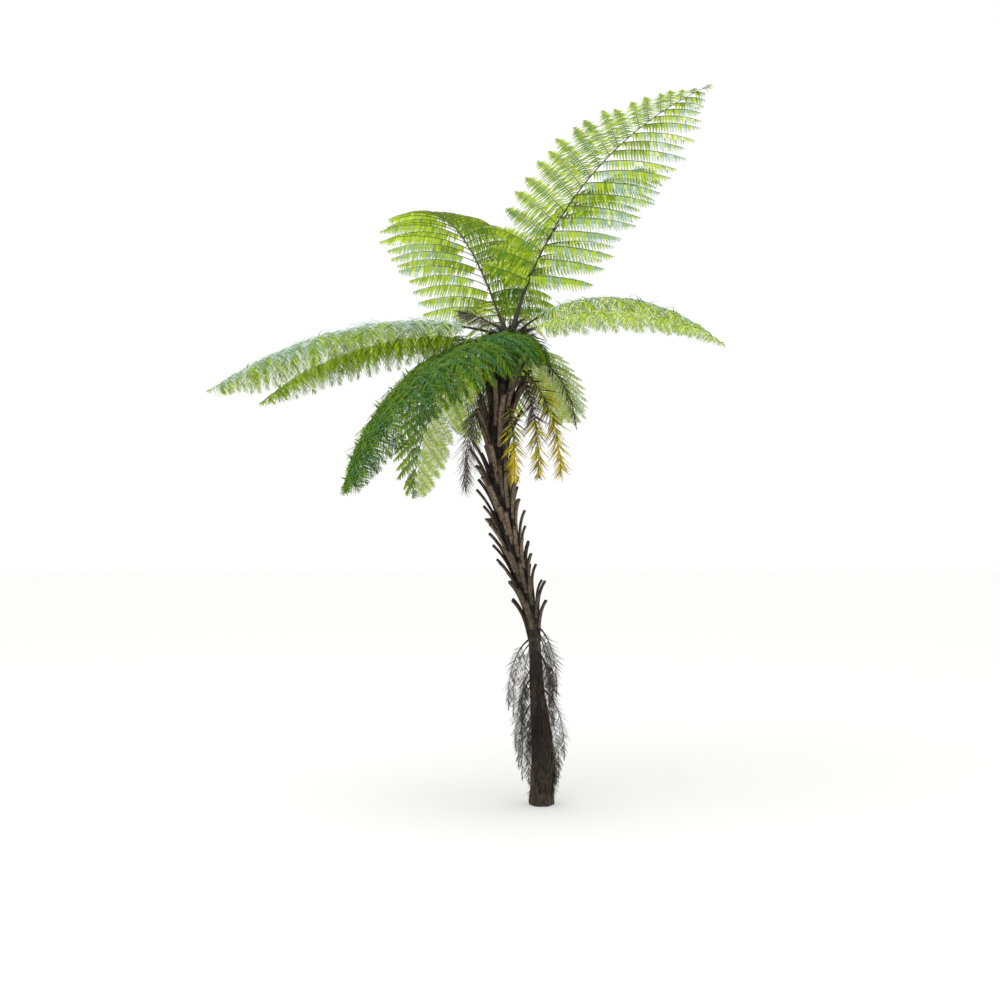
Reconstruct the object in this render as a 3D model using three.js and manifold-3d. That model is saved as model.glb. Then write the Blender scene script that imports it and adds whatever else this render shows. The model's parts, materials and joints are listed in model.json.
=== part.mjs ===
// Tree fern: a slender leaning trunk with a fibrous foot, old leaf bases up its side, a crown of
// arching fronds, and dead fronds that hang from it. Millimetres, +Z up, the flat cut of the trunk
// centred on the origin. Headings are degrees from +X towards +Y.
import * as THREE from 'three';
import Module from 'manifold-3d';

const wasm = await Module();
wasm.setup();
const { Manifold, Mesh: SolidMesh } = wasm;

// ---- driving dimensions ----

const GAP = 0.3; // clearance that touching pieces keep
const CLEAR = 0.6; // clearance that a leaflet keeps from other limbs

// Where the trunk bends: height, then the offset of its centre.
const TRUNK_BENDS = [
  { z: 0, x: 0, y: 0 },
  { z: 350, x: 2, y: 4 },
  { z: 700, x: -26, y: 8 },
  { z: 1150, x: -56, y: 20 },
  { z: 1650, x: -190, y: 10 },
  { z: 2150, x: -276, y: -12 },
  { z: 2600, x: -238, y: -8 },
  { z: 2990, x: -202, y: 0 },
];
// Trunk radius by height: flared foot, slim waist, thicker where the leaf bases crowd.
const TRUNK_GIRTHS = [
  { z: 0, r: 78 },
  { z: 120, r: 70 },
  { z: 450, r: 63 },
  { z: 650, r: 48 },
  { z: 950, r: 40 },
  { z: 1300, r: 46 },
  { z: 2300, r: 58 },
  { z: 2870, r: 60 },
];
const DOME_FOOT = 2870; // height where the growing tip starts to round over
const TRUNK_TOP = 2990;
const TRUNK_SIDES = 16;
const TRUNK_RINGS = 24;
const DOME_RINGS = 4;
const WAY_REACH = 60; // the trunk's direction at a height is taken from this far below to above
// Low swellings that wander round the trunk: how many, how high over the radius, and the climb
// in which they turn by one radian.
const SWELLINGS = [
  { lobes: 3, height: 0.05, climb: 210 },
  { lobes: 5, height: 0.03, climb: -130 },
];

// A frond's rib: a bare stalk and then a blade, with a four-sided section that thins to the tip.
const PATH_STEPS = 24; // a rib is worked out in this many equal steps
const FOOT_INSET = 26; // a rib's centre starts this far from the trunk's centre
const BARE_SHARE = 0.14; // of the rib, below its first leaflets
const BARE_RINGS = 3;
const BLADE_END = 0.985; // share of the rib where the blade's last step ends
const RIB_TAPER = 0.24; // rib thickness at the tip over that at the foot
const RIB_LEAST = 2.5;
const RIB_HEIGHT = 0.85; // rib height over its width
const RIB_SIDES = { left: 0, right: 2 }; // numbers of a rib section's sides

// Its leaflets, in opposite pairs: thin blades that widen from the rib and droop to a point.
const LEAFLET_START = 80; // degrees between rib and leaflet at the foot of the blade
const LEAFLET_END = 50; // and at its tip
const LEAFLET_FILL = 0.92; // leaflet width over the room between its neighbours
const LEAFLET_SHORTEST = 45;
const LEAFLET_BREADTH = 0.4; // the widest a leaflet is, over its length
const LEAFLET_SLENDERNESS = 85; // leaflet length over thickness
const LEAFLET_LEAST = 3.2; // and the thinnest a leaflet is
const LEAFLET_SAG = 0.8; // how far a frond's droop bends a leaflet, either side of its middle
const ROOT_REACH = 0.8; // half a leaflet's root, over half the rib's width
const ROOT_MOST = 0.3; // and the most it is, over the step between pairs
// Stations along a leaflet: share of its length, and of its width and thickness.
const LONG_LEAFLET = [{ at: 0.28, size: 1 }, { at: 0.68, size: 0.74 }];
const SHORT_LEAFLET = [{ at: 0.4, size: 1 }];
const LONG_FROM = 280;
// Outline of the blade: leaflet length at its foot, where it is widest, and how it narrows.
const OUTLINE = { foot: 0.78, widest: 0.32, loss: 0.92, fade: 2.3 };
// The leaflet that ends the rib, over the frond's longest one, and its widest place.
const TERMINAL = { share: 0.16, broadAt: 0.4, breadth: 0.13 };

// Living fronds. seat and foot: heading and height of the joint on the trunk; heading: way the
// frond goes; rise and fall: slope at its foot and tip; bend: over 1 bends late, under 1 early;
// bare: share of the rib without leaflets; span: longest leaflet; tilt: roll about the rib, left
// side up when over 0; droop: how far the leaflets hang; split: share of the pairs on the inner
// piece of a strongly arched frond; leafletStart and leafletEnd: its own leaflet angles.
const FRONDS = [
  { name: 'frond_high_right', seat: 5, foot: 2945, heading: 31, rise: 77, fall: 27, bend: 0.8,
    length: 2400, rib: 13, span: 520, tilt: 40, droop: 10, pairs: 19,
    leafletStart: 82, leafletEnd: 34 },
  { name: 'frond_high_back_right', seat: 65, foot: 2935, heading: 50, rise: 70, fall: 10, bend: 1,
    length: 2180, rib: 12, span: 500, tilt: 0, droop: 30, pairs: 17 },
  { name: 'frond_high_left', seat: 125, foot: 2940, heading: 110, rise: 48, fall: 10, bend: 1.5,
    length: 2050, rib: 12, bare: 0.08, span: 640, tilt: 0, droop: 12, pairs: 17 },
  { name: 'frond_left_upper', seat: 185, foot: 2930, heading: 190, rise: 20, fall: -32, bend: 0.7,
    length: 1850, rib: 12, span: 450, tilt: 0, droop: 52, pairs: 17, leafletStart: 60, leafletEnd: 42 },
  { name: 'frond_left_lower', seat: 170, foot: 2885, heading: 170, rise: 10, fall: -34, bend: 1,
    length: 1640, rib: 11, span: 350, tilt: 0, droop: 42, pairs: 15, leafletStart: 60, leafletEnd: 42 },
  { name: 'frond_front_left', seat: 235, foot: 2930, heading: 218, rise: -10, fall: -67, bend: 1,
    length: 1550, rib: 12, bare: 0.11, span: 500, tilt: 0, droop: 44, pairs: 16, split: 0.5,
    leafletStart: 98, leafletEnd: 34 },
  { name: 'frond_back_left', seat: 148, foot: 2855, heading: 148, rise: 0, fall: -88, bend: 0.7,
    length: 1220, rib: 10, span: 350, tilt: 15, droop: 14, pairs: 14, split: 0.4,
    leafletStart: 62, leafletEnd: 42 },
  { name: 'frond_right_upper', seat: 345, foot: 2905, heading: 5, rise: 62, fall: -36, bend: 0.6,
    length: 1450, rib: 11, span: 310, tilt: 0, droop: 32, pairs: 15, split: 0.4,
    leafletStart: 60, leafletEnd: 42 },
  { name: 'frond_right_lower', seat: 310, foot: 2885, heading: 350, rise: 44, fall: -22, bend: 0.6,
    length: 1250, rib: 10, span: 260, tilt: 0, droop: 32, pairs: 13, leafletStart: 60, leafletEnd: 42 },
  { name: 'frond_back_right', seat: 38, foot: 2905, heading: 42, rise: 6, fall: -68, bend: 0.55,
    length: 700, rib: 9, span: 340, tilt: 0, droop: 10, pairs: 11, split: 0.4,
    leafletStart: 64, leafletEnd: 38 },
  { name: 'frond_back_upper', seat: 95, foot: 2895, heading: 95, rise: 38, fall: -22, bend: 1.3,
    length: 1500, rib: 11, span: 430, tilt: 0, droop: 40, pairs: 14 },
  { name: 'frond_back_lower', seat: 108, foot: 2835, heading: 102, rise: 6, fall: -60, bend: 1,
    length: 1150, rib: 10, span: 400, tilt: 0, droop: 40, pairs: 12 },
];

// Dead fronds, by the same rule, withered to a narrow blade whose leaflets have folded forward.
const WITHERED = { leafletStart: 48, leafletEnd: 34, droop: 20 };
const DEAD_FRONDS = [
  { name: 'dead_frond_left_front', seat: 215, foot: 2700, heading: 205, rise: -10, fall: -93,
    bend: 0.35, length: 800, rib: 7, span: 130, pairs: 9, colour: 0x4a4035 },
  { name: 'dead_frond_left_back', seat: 146, foot: 2680, heading: 150, rise: -10, fall: -90,
    bend: 0.35, length: 740, rib: 7, span: 120, pairs: 8, colour: 0x3f372e },
  { name: 'dead_frond_right_wiry', seat: 0, foot: 2845, heading: 345, rise: 20, fall: -85,
    bend: 0.5, length: 720, rib: 6, span: 80, pairs: 7, colour: 0x2b2620 },
  { name: 'dead_frond_right_olive', seat: 320, foot: 2780, heading: 323, rise: -12, fall: -91,
    bend: 0.3, length: 800, rib: 7, span: 130, pairs: 9, colour: 0x8f8a2c },
  { name: 'dead_frond_right_golden', seat: 0, foot: 2765, heading: 0, rise: 2, fall: -90,
    bend: 0.36, length: 820, rib: 7, span: 140, pairs: 9, colour: 0xb79a22 },
  { name: 'dead_frond_high_left', seat: 150, foot: 2955, heading: 172, rise: 40, fall: 10,
    bend: 1, length: 330, rib: 6, span: 90, pairs: 5, colour: 0x5b5042 },
];

// Old ribs hang in a skirt that steps down the foot of the trunk and ends just above the ground.
const SKIRT = {
  count: 8, highest: 1110, lowest: 570, turn: 137.5, firstHeading: 30,
  rise: 5, fall: -94, bend: 0.28, length: 500, rib: 5, span: 80, pairs: 5, colour: 0x39332c,
};

// Cut leaf bases climb the trunk in a spiral, hugging it and then leaning out; the upper ones are
// longer and stand closer. Every second one has grown into the trunk. cuts: they are cut to this
// many lengths, each shorter by cutStep; curl: over 1 leans late; underside: its width over the top's.
const BASES = {
  count: 50, lowest: 1030, highest: 2420, turn: 137.5, firstHeading: 185, steps: 3,
  lowLength: 270, highLength: 370, cuts: 4, cutStep: 0.05, hug: 9, lowLean: 58, highLean: 32,
  curl: 1.5, lowWidth: 29, highWidth: 36, flatness: 0.62, underside: 0.8, endShare: 0.72, inset: 9,
};

const COLOURS = { trunk: 0x2e2a24, base: 0x6b5a45, frond: 0x4f7f2a };

// ---- small helpers ----

const UP = new THREE.Vector3(0, 0, 1);
const rad = THREE.MathUtils.degToRad;
const lerp = THREE.MathUtils.lerp;

const compass = (heading) => new THREE.Vector3(Math.cos(rad(heading)), Math.sin(rad(heading)), 0);

// Smooth curve through rows of { z, value }, with slopes taken across each row's neighbours.
function along(rows, key, z) {
  const last = rows.length - 1;
  const slope = (i) => {
    const before = rows[Math.max(i - 1, 0)];
    const after = rows[Math.min(i + 1, last)];
    return (after[key] - before[key]) / (after.z - before.z);
  };
  const held = THREE.MathUtils.clamp(z, rows[0].z, rows[last].z);
  const found = rows.findIndex((row) => row.z > held);
  const i = (found < 0 ? last : found) - 1;
  const reach = rows[i + 1].z - rows[i].z;
  const t = (held - rows[i].z) / reach;
  const t2 = t * t;
  const t3 = t2 * t;
  return (2 * t3 - 3 * t2 + 1) * rows[i][key] + (3 * t2 - 2 * t3) * rows[i + 1][key]
    + (t3 - 2 * t2 + t) * slope(i) * reach + (t3 - t2) * slope(i + 1) * reach;
}

// Triangles between shared points, gathered into one closed surface. A ring's points run
// anticlockwise as seen from where the rings lead.
class Surface {
  constructor() {
    this.numbers = new Map();
    this.positions = [];
    this.triangles = [];
  }

  number(point) {
    if (!this.numbers.has(point)) {
      this.numbers.set(point, this.numbers.size);
      this.positions.push(point.x, point.y, point.z);
    }
    return this.numbers.get(point);
  }

  triangle(...points) {
    this.triangles.push(...points.map((point) => this.number(point)));
    return this;
  }

  quad(a, b, c, d) {
    return this.triangle(a, b, c).triangle(a, c, d);
  }

  // The walls between two rings, leaving out the sides whose numbers are given. Opposite walls
  // are split along the same diagonal, so that a thin twisted blade doesn't cut through itself.
  walls(ring, next, open = []) {
    ring.forEach((point, i) => {
      const j = (i + 1) % ring.length;
      if (open.includes(i)) return;
      if (i < ring.length / 2) this.quad(point, ring[j], next[j], next[i]);
      else this.quad(ring[j], next[j], next[i], point);
    });
    return this;
  }

  close(ring) {
    for (let i = 2; i < ring.length; i += 1) this.triangle(ring[0], ring[i - 1], ring[i]);
    return this;
  }

  cone(ring, tip) {
    ring.forEach((point, i) => this.triangle(point, ring[(i + 1) % ring.length], tip));
    return this;
  }

  solid() {
    return new Manifold(new SolidMesh({
      numProp: 3,
      vertProperties: new Float32Array(this.positions),
      triVerts: new Uint32Array(this.triangles),
    }));
  }
}

// The solid through a row of rings, with a flat first end and a flat or pointed last end.
function loft(rings, tip = null) {
  const surface = new Surface().close([...rings[0]].reverse());
  rings.slice(1).forEach((ring, k) => surface.walls(rings[k], ring));
  const last = rings[rings.length - 1];
  return (tip ? surface.cone(last, tip) : surface.close(last)).solid();
}

function geometryOf(solid) {
  const mesh = solid.getMesh();
  const geometry = new THREE.BufferGeometry();
  geometry.setAttribute('position', new THREE.BufferAttribute(new Float32Array(mesh.vertProperties), 3));
  geometry.setIndex(new THREE.BufferAttribute(new Uint32Array(mesh.triVerts), 1));
  return geometry;
}

// True where two solids come closer than the clearance.
function crowds(solid, other, clearance) {
  const a = solid.boundingBox();
  const b = other.boundingBox();
  const apart = [0, 1, 2].some(
    (k) => a.min[k] > b.max[k] + clearance || b.min[k] > a.max[k] + clearance);
  return !apart && solid.minGap(other, clearance * 2) < clearance;
}

// ---- trunk ----

function trunkCentre(z) {
  return new THREE.Vector3(along(TRUNK_BENDS, 'x', z), along(TRUNK_BENDS, 'y', z), z);
}

function trunkRadius(z) {
  const dome = Math.max(z - DOME_FOOT, 0) / (TRUNK_TOP - DOME_FOOT);
  return along(TRUNK_GIRTHS, 'r', z) * Math.sqrt(Math.max(1 - dome * dome, 0));
}

// The way the trunk climbs at a height.
function trunkWay(z) {
  return trunkCentre(z + WAY_REACH).sub(trunkCentre(z - WAY_REACH)).normalize();
}

function trunkSwell(turn, z) {
  return SWELLINGS.reduce(
    (sum, { lobes, height, climb }) => sum + height * Math.sin(lobes * turn + z / climb), 1);
}

function trunkSolid(grow = 0) {
  const heights = [];
  for (let k = 0; k <= TRUNK_RINGS; k += 1) heights.push((DOME_FOOT * k) / TRUNK_RINGS);
  for (let k = 1; k < DOME_RINGS; k += 1) {
    heights.push(lerp(DOME_FOOT, TRUNK_TOP, Math.sin((Math.PI / 2) * (k / DOME_RINGS))));
  }
  const rings = heights.map((z) => {
    const centre = trunkCentre(z);
    centre.z += grow * Math.max(z - DOME_FOOT, 0) / (TRUNK_TOP - DOME_FOOT);
    return Array.from({ length: TRUNK_SIDES }, (_, i) => {
      const turn = (i / TRUNK_SIDES) * 2 * Math.PI;
      const radius = trunkRadius(z) * trunkSwell(turn, z) + grow;
      return new THREE.Vector3(Math.cos(turn), Math.sin(turn), 0).multiplyScalar(radius).add(centre);
    });
  });
  const tip = trunkCentre(TRUNK_TOP);
  tip.z += grow;
  return loft(rings, tip);
}

// ---- fronds ----

// Points and directions along a frond's rib, in equal steps from its foot in the trunk.
function ribPath(frond) {
  const point = trunkCentre(frond.foot).addScaledVector(compass(frond.seat), FOOT_INSET);
  const path = [];
  for (let k = 0; k < PATH_STEPS; k += 1) {
    const share = (k + 0.5) / PATH_STEPS;
    const slope = rad(frond.rise - (frond.rise - frond.fall) * share ** frond.bend);
    const way = compass(frond.heading).multiplyScalar(Math.cos(slope)).addScaledVector(UP, Math.sin(slope));
    path.push({ point: point.clone(), way });
    point.addScaledVector(way, frond.length / PATH_STEPS);
  }
  path.push({ point, way: path[PATH_STEPS - 1].way });
  return path;
}

// Place, direction, sideways and upward directions at a share of the rib's length.
function ribFrame(frond, path, share) {
  const step = Math.min(Math.floor(share * PATH_STEPS), PATH_STEPS - 1);
  const part = share * PATH_STEPS - step;
  const point = path[step].point.clone().lerp(path[step + 1].point, part);
  const way = path[step].way.clone().lerp(path[step + 1].way, part).normalize();
  const level = compass(frond.heading - 90);
  const upright = level.clone().cross(way);
  const roll = rad(frond.tilt ?? 0);
  const side = level.clone().multiplyScalar(Math.cos(roll)).addScaledVector(upright, -Math.sin(roll));
  return { point, way, side, face: side.clone().cross(way) };
}

const ribRadius = (frond, share) => Math.max(frond.rib * lerp(1, RIB_TAPER, share), RIB_LEAST);

// Share of the rib where a share of the blade lies, and the step there between two pairs.
const bladePlace = (frond, v) => lerp(frond.bare ?? BARE_SHARE, BLADE_END, v);
const pairStep = (frond) => (BLADE_END - bladePlace(frond, 0)) / frond.pairs;

// The rib's four-sided section, from its lower left corner round over the top.
function ribRing(frond, path, share) {
  const { point, side, face } = ribFrame(frond, path, share);
  const r = ribRadius(frond, share);
  return [[-1, -1], [-1, 1], [1, 1], [1, -1]].map(
    ([u, v]) => point.clone().addScaledVector(side, u * r).addScaledVector(face, v * r * RIB_HEIGHT));
}

// Leaflet length along the blade, as a share of the longest.
function bladeOutline(v) {
  const { foot, widest, loss, fade } = OUTLINE;
  if (v < widest) return lerp(foot, 1, THREE.MathUtils.smoothstep(v, 0, widest));
  return 1 - loss * ((v - widest) / (1 - widest)) ** fade;
}

// One leaflet's rings and tip. hand: 1 on the rib's right, -1 on its left.
function leafletForm(frond, path, v, hand) {
  const { point, way: rib, side, face: upper } = ribFrame(frond, path, bladePlace(frond, v));
  const angle = rad(lerp(frond.leafletStart ?? LEAFLET_START, frond.leafletEnd ?? LEAFLET_END, v));
  const start = rib.clone().multiplyScalar(Math.cos(angle)).addScaledVector(side, hand * Math.sin(angle));
  const length = Math.max(frond.span * bladeOutline(v), LEAFLET_SHORTEST);
  const room = (frond.length * pairStep(frond)) * Math.sin(angle);
  const width = Math.min(room * LEAFLET_FILL, length * LEAFLET_BREADTH);
  const thickness = Math.max(length / LEAFLET_SLENDERNESS, LEAFLET_LEAST);
  const rings = [];
  let before = 0;
  [...(length > LONG_FROM ? LONG_LEAFLET : SHORT_LEAFLET), { at: 1 }].forEach(({ at, size }) => {
    const drop = rad(frond.droop) * (before + at) * LEAFLET_SAG;
    const way = start.clone().multiplyScalar(Math.cos(drop)).addScaledVector(upper, -Math.sin(drop));
    point.addScaledVector(way, length * (at - before));
    before = at;
    if (!size) return;
    const across = rib.clone().addScaledVector(way, -rib.dot(way)).normalize();
    const face = way.clone().cross(across);
    rings.push([[-1, 1], [-1, -1], [1, -1], [1, 1]].map(([u, w]) => point.clone()
      .addScaledVector(across, (u * width * size) / 2)
      .addScaledVector(face, (w * thickness * size) / 2)));
  });
  return { rings, tip: point };
}

// The leaflet that ends the rib: its widest ring and its tip.
function terminalForm(frond, path) {
  const { point, way, side, face } = ribFrame(frond, path, 1);
  const length = Math.max(frond.span * TERMINAL.share, LEAFLET_SHORTEST);
  const broad = [[-1, -1], [-1, 1], [1, 1], [1, -1]].map(([u, v]) => point.clone()
    .addScaledVector(way, length * TERMINAL.broadAt)
    .addScaledVector(side, u * length * TERMINAL.breadth)
    .addScaledVector(face, (v * LEAFLET_LEAST) / 2));
  return { broad, tip: point.clone().addScaledVector(way, length) };
}

// A piece of a frond, between two shares of its blade: the rib, and those leaflets that keep
// clear of the other limbs and of each other. With no list of limbs it is the bare rib.
function frondPiece(piece, limbs) {
  const { frond, path, from, to } = piece;
  const end = terminalForm(frond, path);
  const standing = [...(limbs ?? []), loft([ribRing(frond, path, 1), end.broad], end.tip)];
  const surface = new Surface();
  let ring = ribRing(frond, path, piece.start);
  surface.close([...ring].reverse());
  const advance = (share, leaflets = {}) => {
    const next = ribRing(frond, path, share);
    const open = Object.keys(leaflets).map(Number);
    surface.walls(ring, next, open);
    open.forEach((i) => {
      const root = [ring[i], ring[(i + 1) % 4], next[(i + 1) % 4], next[i]];
      const rings = [root, ...leaflets[i].rings];
      rings.slice(1).forEach((outer, k) => surface.walls(rings[k], outer));
      surface.cone(rings[rings.length - 1], leaflets[i].tip);
    });
    ring = next;
  };
  if (from === 0) {
    for (let k = 1; k <= BARE_RINGS; k += 1) advance((bladePlace(frond, 0) * k) / (BARE_RINGS + 0.5));
  }
  for (let i = Math.round(from * frond.pairs); i < Math.round(to * frond.pairs); i += 1) {
    const v = (i + 0.5) / frond.pairs;
    const share = bladePlace(frond, v);
    const half = Math.min(
      (ribRadius(frond, share) * ROOT_REACH) / frond.length, pairStep(frond) * ROOT_MOST);
    advance(share - half);
    const root = [ring, ribRing(frond, path, share + half)];
    const leaflets = {};
    [['left', -1], ['right', 1]].forEach(([name, hand]) => {
      const side = RIB_SIDES[name];
      const form = leafletForm(frond, path, v, hand);
      const quad = [root[0][side], root[0][side + 1], root[1][side + 1], root[1][side]];
      const leaflet = loft([quad, ...form.rings], form.tip);
      if (!limbs || standing.some((other) => crowds(leaflet, other, CLEAR))) return;
      standing.push(leaflet);
      leaflets[side] = form;
    });
    advance(share + half, leaflets);
  }
  advance(piece.end);
  if (to < 1) return surface.close(ring).solid();
  return surface.walls(ring, end.broad).cone(end.broad, end.tip).solid();
}

// The pieces of a frond: one, or an inner and an outer one that meet at a cut through the rib.
function piecesOf(frond) {
  const path = ribPath(frond);
  const whole = { frond, path, name: frond.name, from: 0, to: 1, start: 0, end: 1 };
  if (!frond.split) return [whole];
  const pair = Math.round(frond.split * frond.pairs) / frond.pairs;
  const cut = bladePlace(frond, pair);
  const gap = GAP / 2 / frond.length;
  return [
    { ...whole, name: `${frond.name}_inner`, to: pair, end: cut - gap },
    { ...whole, name: `${frond.name}_outer`, from: pair, start: cut + gap },
  ];
}

// Skirt strands as fronds of their own, in a spiral down the trunk.
function skirtFronds() {
  return Array.from({ length: SKIRT.count }, (_, i) => {
    const heading = SKIRT.firstHeading + i * SKIRT.turn;
    const foot = lerp(SKIRT.highest, SKIRT.lowest, i / (SKIRT.count - 1));
    return { ...SKIRT, name: `skirt_strand_${i + 1}`, heading, seat: heading, foot };
  });
}

// ---- leaf bases ----

function leafBaseSolid(index) {
  const up = index / (BASES.count - 1);
  const outward = compass(BASES.firstHeading + index * BASES.turn);
  const level = compass(BASES.firstHeading + index * BASES.turn - 90);
  const cut = 1 - BASES.cutStep * ((index * 3) % BASES.cuts);
  const length = lerp(BASES.lowLength, BASES.highLength, up) * cut;
  const lean = lerp(BASES.lowLean, BASES.highLean, up);
  const width = lerp(BASES.lowWidth, BASES.highWidth, up);
  const foot = lerp(BASES.lowest, BASES.highest, up);
  const climb = trunkWay(foot);
  const point = trunkCentre(foot).addScaledVector(outward, trunkRadius(foot) - BASES.inset);
  const rings = [];
  for (let k = 0; k <= BASES.steps; k += 1) {
    const share = k / BASES.steps;
    const angle = rad(lerp(BASES.hug, lean, share ** BASES.curl));
    const way = climb.clone().multiplyScalar(Math.cos(angle)).addScaledVector(outward, Math.sin(angle));
    const face = level.clone().cross(way).normalize();
    const size = (width / 2) * lerp(1, BASES.endShare, share);
    rings.push([[-1, 1], [1, 1], [BASES.underside, -1], [-BASES.underside, -1]].map(([u, v]) => point.clone()
      .addScaledVector(level, u * size)
      .addScaledVector(face, v * size * BASES.flatness)));
    point.addScaledVector(way, length / BASES.steps);
  }
  return loft(rings);
}

// ---- assembly ----

function meshOf(name, solid, colour, roughness) {
  const material = new THREE.MeshStandardMaterial({ color: colour, roughness, metalness: 0 });
  const mesh = new THREE.Mesh(geometryOf(solid), material);
  mesh.name = name;
  return mesh;
}

const fern = new THREE.Group();
const shaft = trunkSolid();
const seat = trunkSolid(GAP);
const grownIn = [];
const leafBases = [];
for (let i = 0; i < BASES.count; i += 1) {
  const base = leafBaseSolid(i);
  if (i % 2) grownIn.push(base);
  else leafBases.push(base.subtract(seat));
}
const trunk = Manifold.union([shaft, ...grownIn]);
const standing = [trunk, ...leafBases];
fern.add(meshOf('trunk', trunk, COLOURS.trunk, 0.95));
leafBases.forEach((base, i) => {
  fern.add(meshOf(`leaf_base_${String(i + 1).padStart(2, '0')}`, base, COLOURS.base, 0.9));
});

// Bare ribs stand in for the fronds that have no leaflets yet, so that none is grown through.
const withered = [...DEAD_FRONDS, ...skirtFronds()].map((frond) => ({ ...WITHERED, ...frond }));
const pieces = [...FRONDS, ...withered].flatMap(piecesOf);
const ribs = pieces.map((piece) => frondPiece(piece).subtract(seat));
pieces.forEach((piece, index) => {
  const whole = frondPiece(piece, [...standing, ...ribs.slice(index + 1)]).subtract(seat);
  standing.push(whole);
  fern.add(meshOf(piece.name, whole, piece.frond.colour ?? COLOURS.frond, 0.8));
});

export default fern;
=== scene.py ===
"""Tree fern: a slender leaning trunk wrapped in old leaf bases, a crown of feathered fronds, dead
fronds below it and a skirt of bristly strands round its foot. Metres, +Z up, the flat cut of the
trunk centred on the origin. Headings are degrees from +X towards +Y."""

import json
import math
from dataclasses import dataclass, field, replace

import bpy
import numpy as np
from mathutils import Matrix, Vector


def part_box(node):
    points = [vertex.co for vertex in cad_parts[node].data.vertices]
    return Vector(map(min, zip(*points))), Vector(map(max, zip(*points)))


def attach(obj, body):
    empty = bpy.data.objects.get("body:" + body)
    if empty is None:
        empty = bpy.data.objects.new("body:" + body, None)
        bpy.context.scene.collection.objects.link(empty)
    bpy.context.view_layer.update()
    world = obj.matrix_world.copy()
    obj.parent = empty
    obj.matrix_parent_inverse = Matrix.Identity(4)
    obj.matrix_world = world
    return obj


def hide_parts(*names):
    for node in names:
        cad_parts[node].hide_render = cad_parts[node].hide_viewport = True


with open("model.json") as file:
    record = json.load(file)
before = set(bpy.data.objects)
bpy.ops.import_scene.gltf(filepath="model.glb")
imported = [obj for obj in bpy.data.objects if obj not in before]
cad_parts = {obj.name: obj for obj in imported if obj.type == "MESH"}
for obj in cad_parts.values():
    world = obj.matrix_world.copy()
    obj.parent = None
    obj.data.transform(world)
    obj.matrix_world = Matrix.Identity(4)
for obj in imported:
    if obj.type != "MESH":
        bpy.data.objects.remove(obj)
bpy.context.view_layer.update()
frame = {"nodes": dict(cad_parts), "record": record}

bl_info = {
    "name": "Tree Fern",
    "version": (1, 0, 0),
    "blender": (4, 5, 0),
    "location": "3D View > Sidebar > Tree Fern",
    "description": "Grows the leaflets, bark, leaf bases and strands of a tree fern on its solids",
    "category": "Object",
}

# The material slot that the record gives each solid.
SLOTS = {part["node"]: part["material_slot"] for part in frame["record"]["subparts"]}

# ---- the trunk's line and girth ----

# Where the trunk bends: height, then the offset of its centre.
TRUNK_BENDS = (
    (0.000, 0.000, 0.000),
    (0.350, 0.002, 0.004),
    (0.700, -0.026, 0.008),
    (1.150, -0.056, 0.020),
    (1.650, -0.190, 0.010),
    (2.150, -0.276, -0.012),
    (2.600, -0.238, -0.008),
    (2.990, -0.202, 0.000),
)
# Trunk radius by height: flared foot, slim waist, thicker where the leaf bases crowd.
TRUNK_GIRTHS = (
    (0.000, 0.078),
    (0.120, 0.070),
    (0.450, 0.063),
    (0.650, 0.048),
    (0.950, 0.040),
    (1.300, 0.046),
    (2.300, 0.058),
    (2.870, 0.060),
)
TRUNK_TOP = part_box("trunk")[1].z
DOME_FOOT = 2.870  # height where the growing tip starts to round over
WAIST = 0.950  # height of the bare, slim stretch
WAY_REACH = 0.060  # the trunk's direction at a height is taken from this far below to above
# Low swellings that wander round the trunk: how many, how high over the radius, and the climb
# in which they turn by one radian.
SWELLINGS = ((3, 0.05, 0.210), (5, 0.03, -0.130))
# Cords of matted root that run up the trunk: how many, how high, the climb in which they wander by
# one radian, and where they start.
CORDS = ((7, 0.0045, 0.23, 0.4), (12, 0.0030, 0.17, 2.1), (19, 0.0018, 0.11, 4.0))
CORD_SUNK = 0.004  # how deep the hollows between the cords lie
CORD_LEAST = 0.35  # the cords' height from the waist up, over that at the foot
CORD_CREST = 0.7  # under 1 gives a cord a sharp crest
KNOB_HEIGHT = 0.0022  # knobs of cut root about the waist
KNOB_CLIMB = 0.007
KNOB_SPREAD = 0.16  # how far from the waist they reach
DOME_RINGS = 15  # rings of the growing tip, with the one at its foot and its top point

# Loose root threads over the mantle.
THREAD_POINTS = 12
THREAD_LENGTHS = (0.10, 0.34)
THREAD_LOWEST = 0.004
THREAD_HIGHEST = 2.7  # where the highest thread starts
THREAD_LIFT = 0.0015  # a thread's centre over the mantle, at its ends
THREAD_ARCH = 0.004  # how much further its middle stands off at most
THREAD_COLOURS = {"brown": "#5a4f42", "black": "#2d2620", "grey": "#7b6d5b"}

# ---- the rule that fronds grow by ----

PATH_STEPS = 24  # a frond's rib is worked out in this many equal steps
FOOT_INSET = 0.026  # a rib's centre starts this far from the trunk's centre
BARE_SHARE = 0.14  # of the rib, below its first leaflets
BLADE_END = 0.985
FIRST_SHARE = 0.78  # a frond's first leaflets over its longest
WIDEST = 0.32  # share of the blade where the longest leaflets stand
LOSS_BEND = 2.3  # how late the leaflets shorten towards the tip
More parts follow.
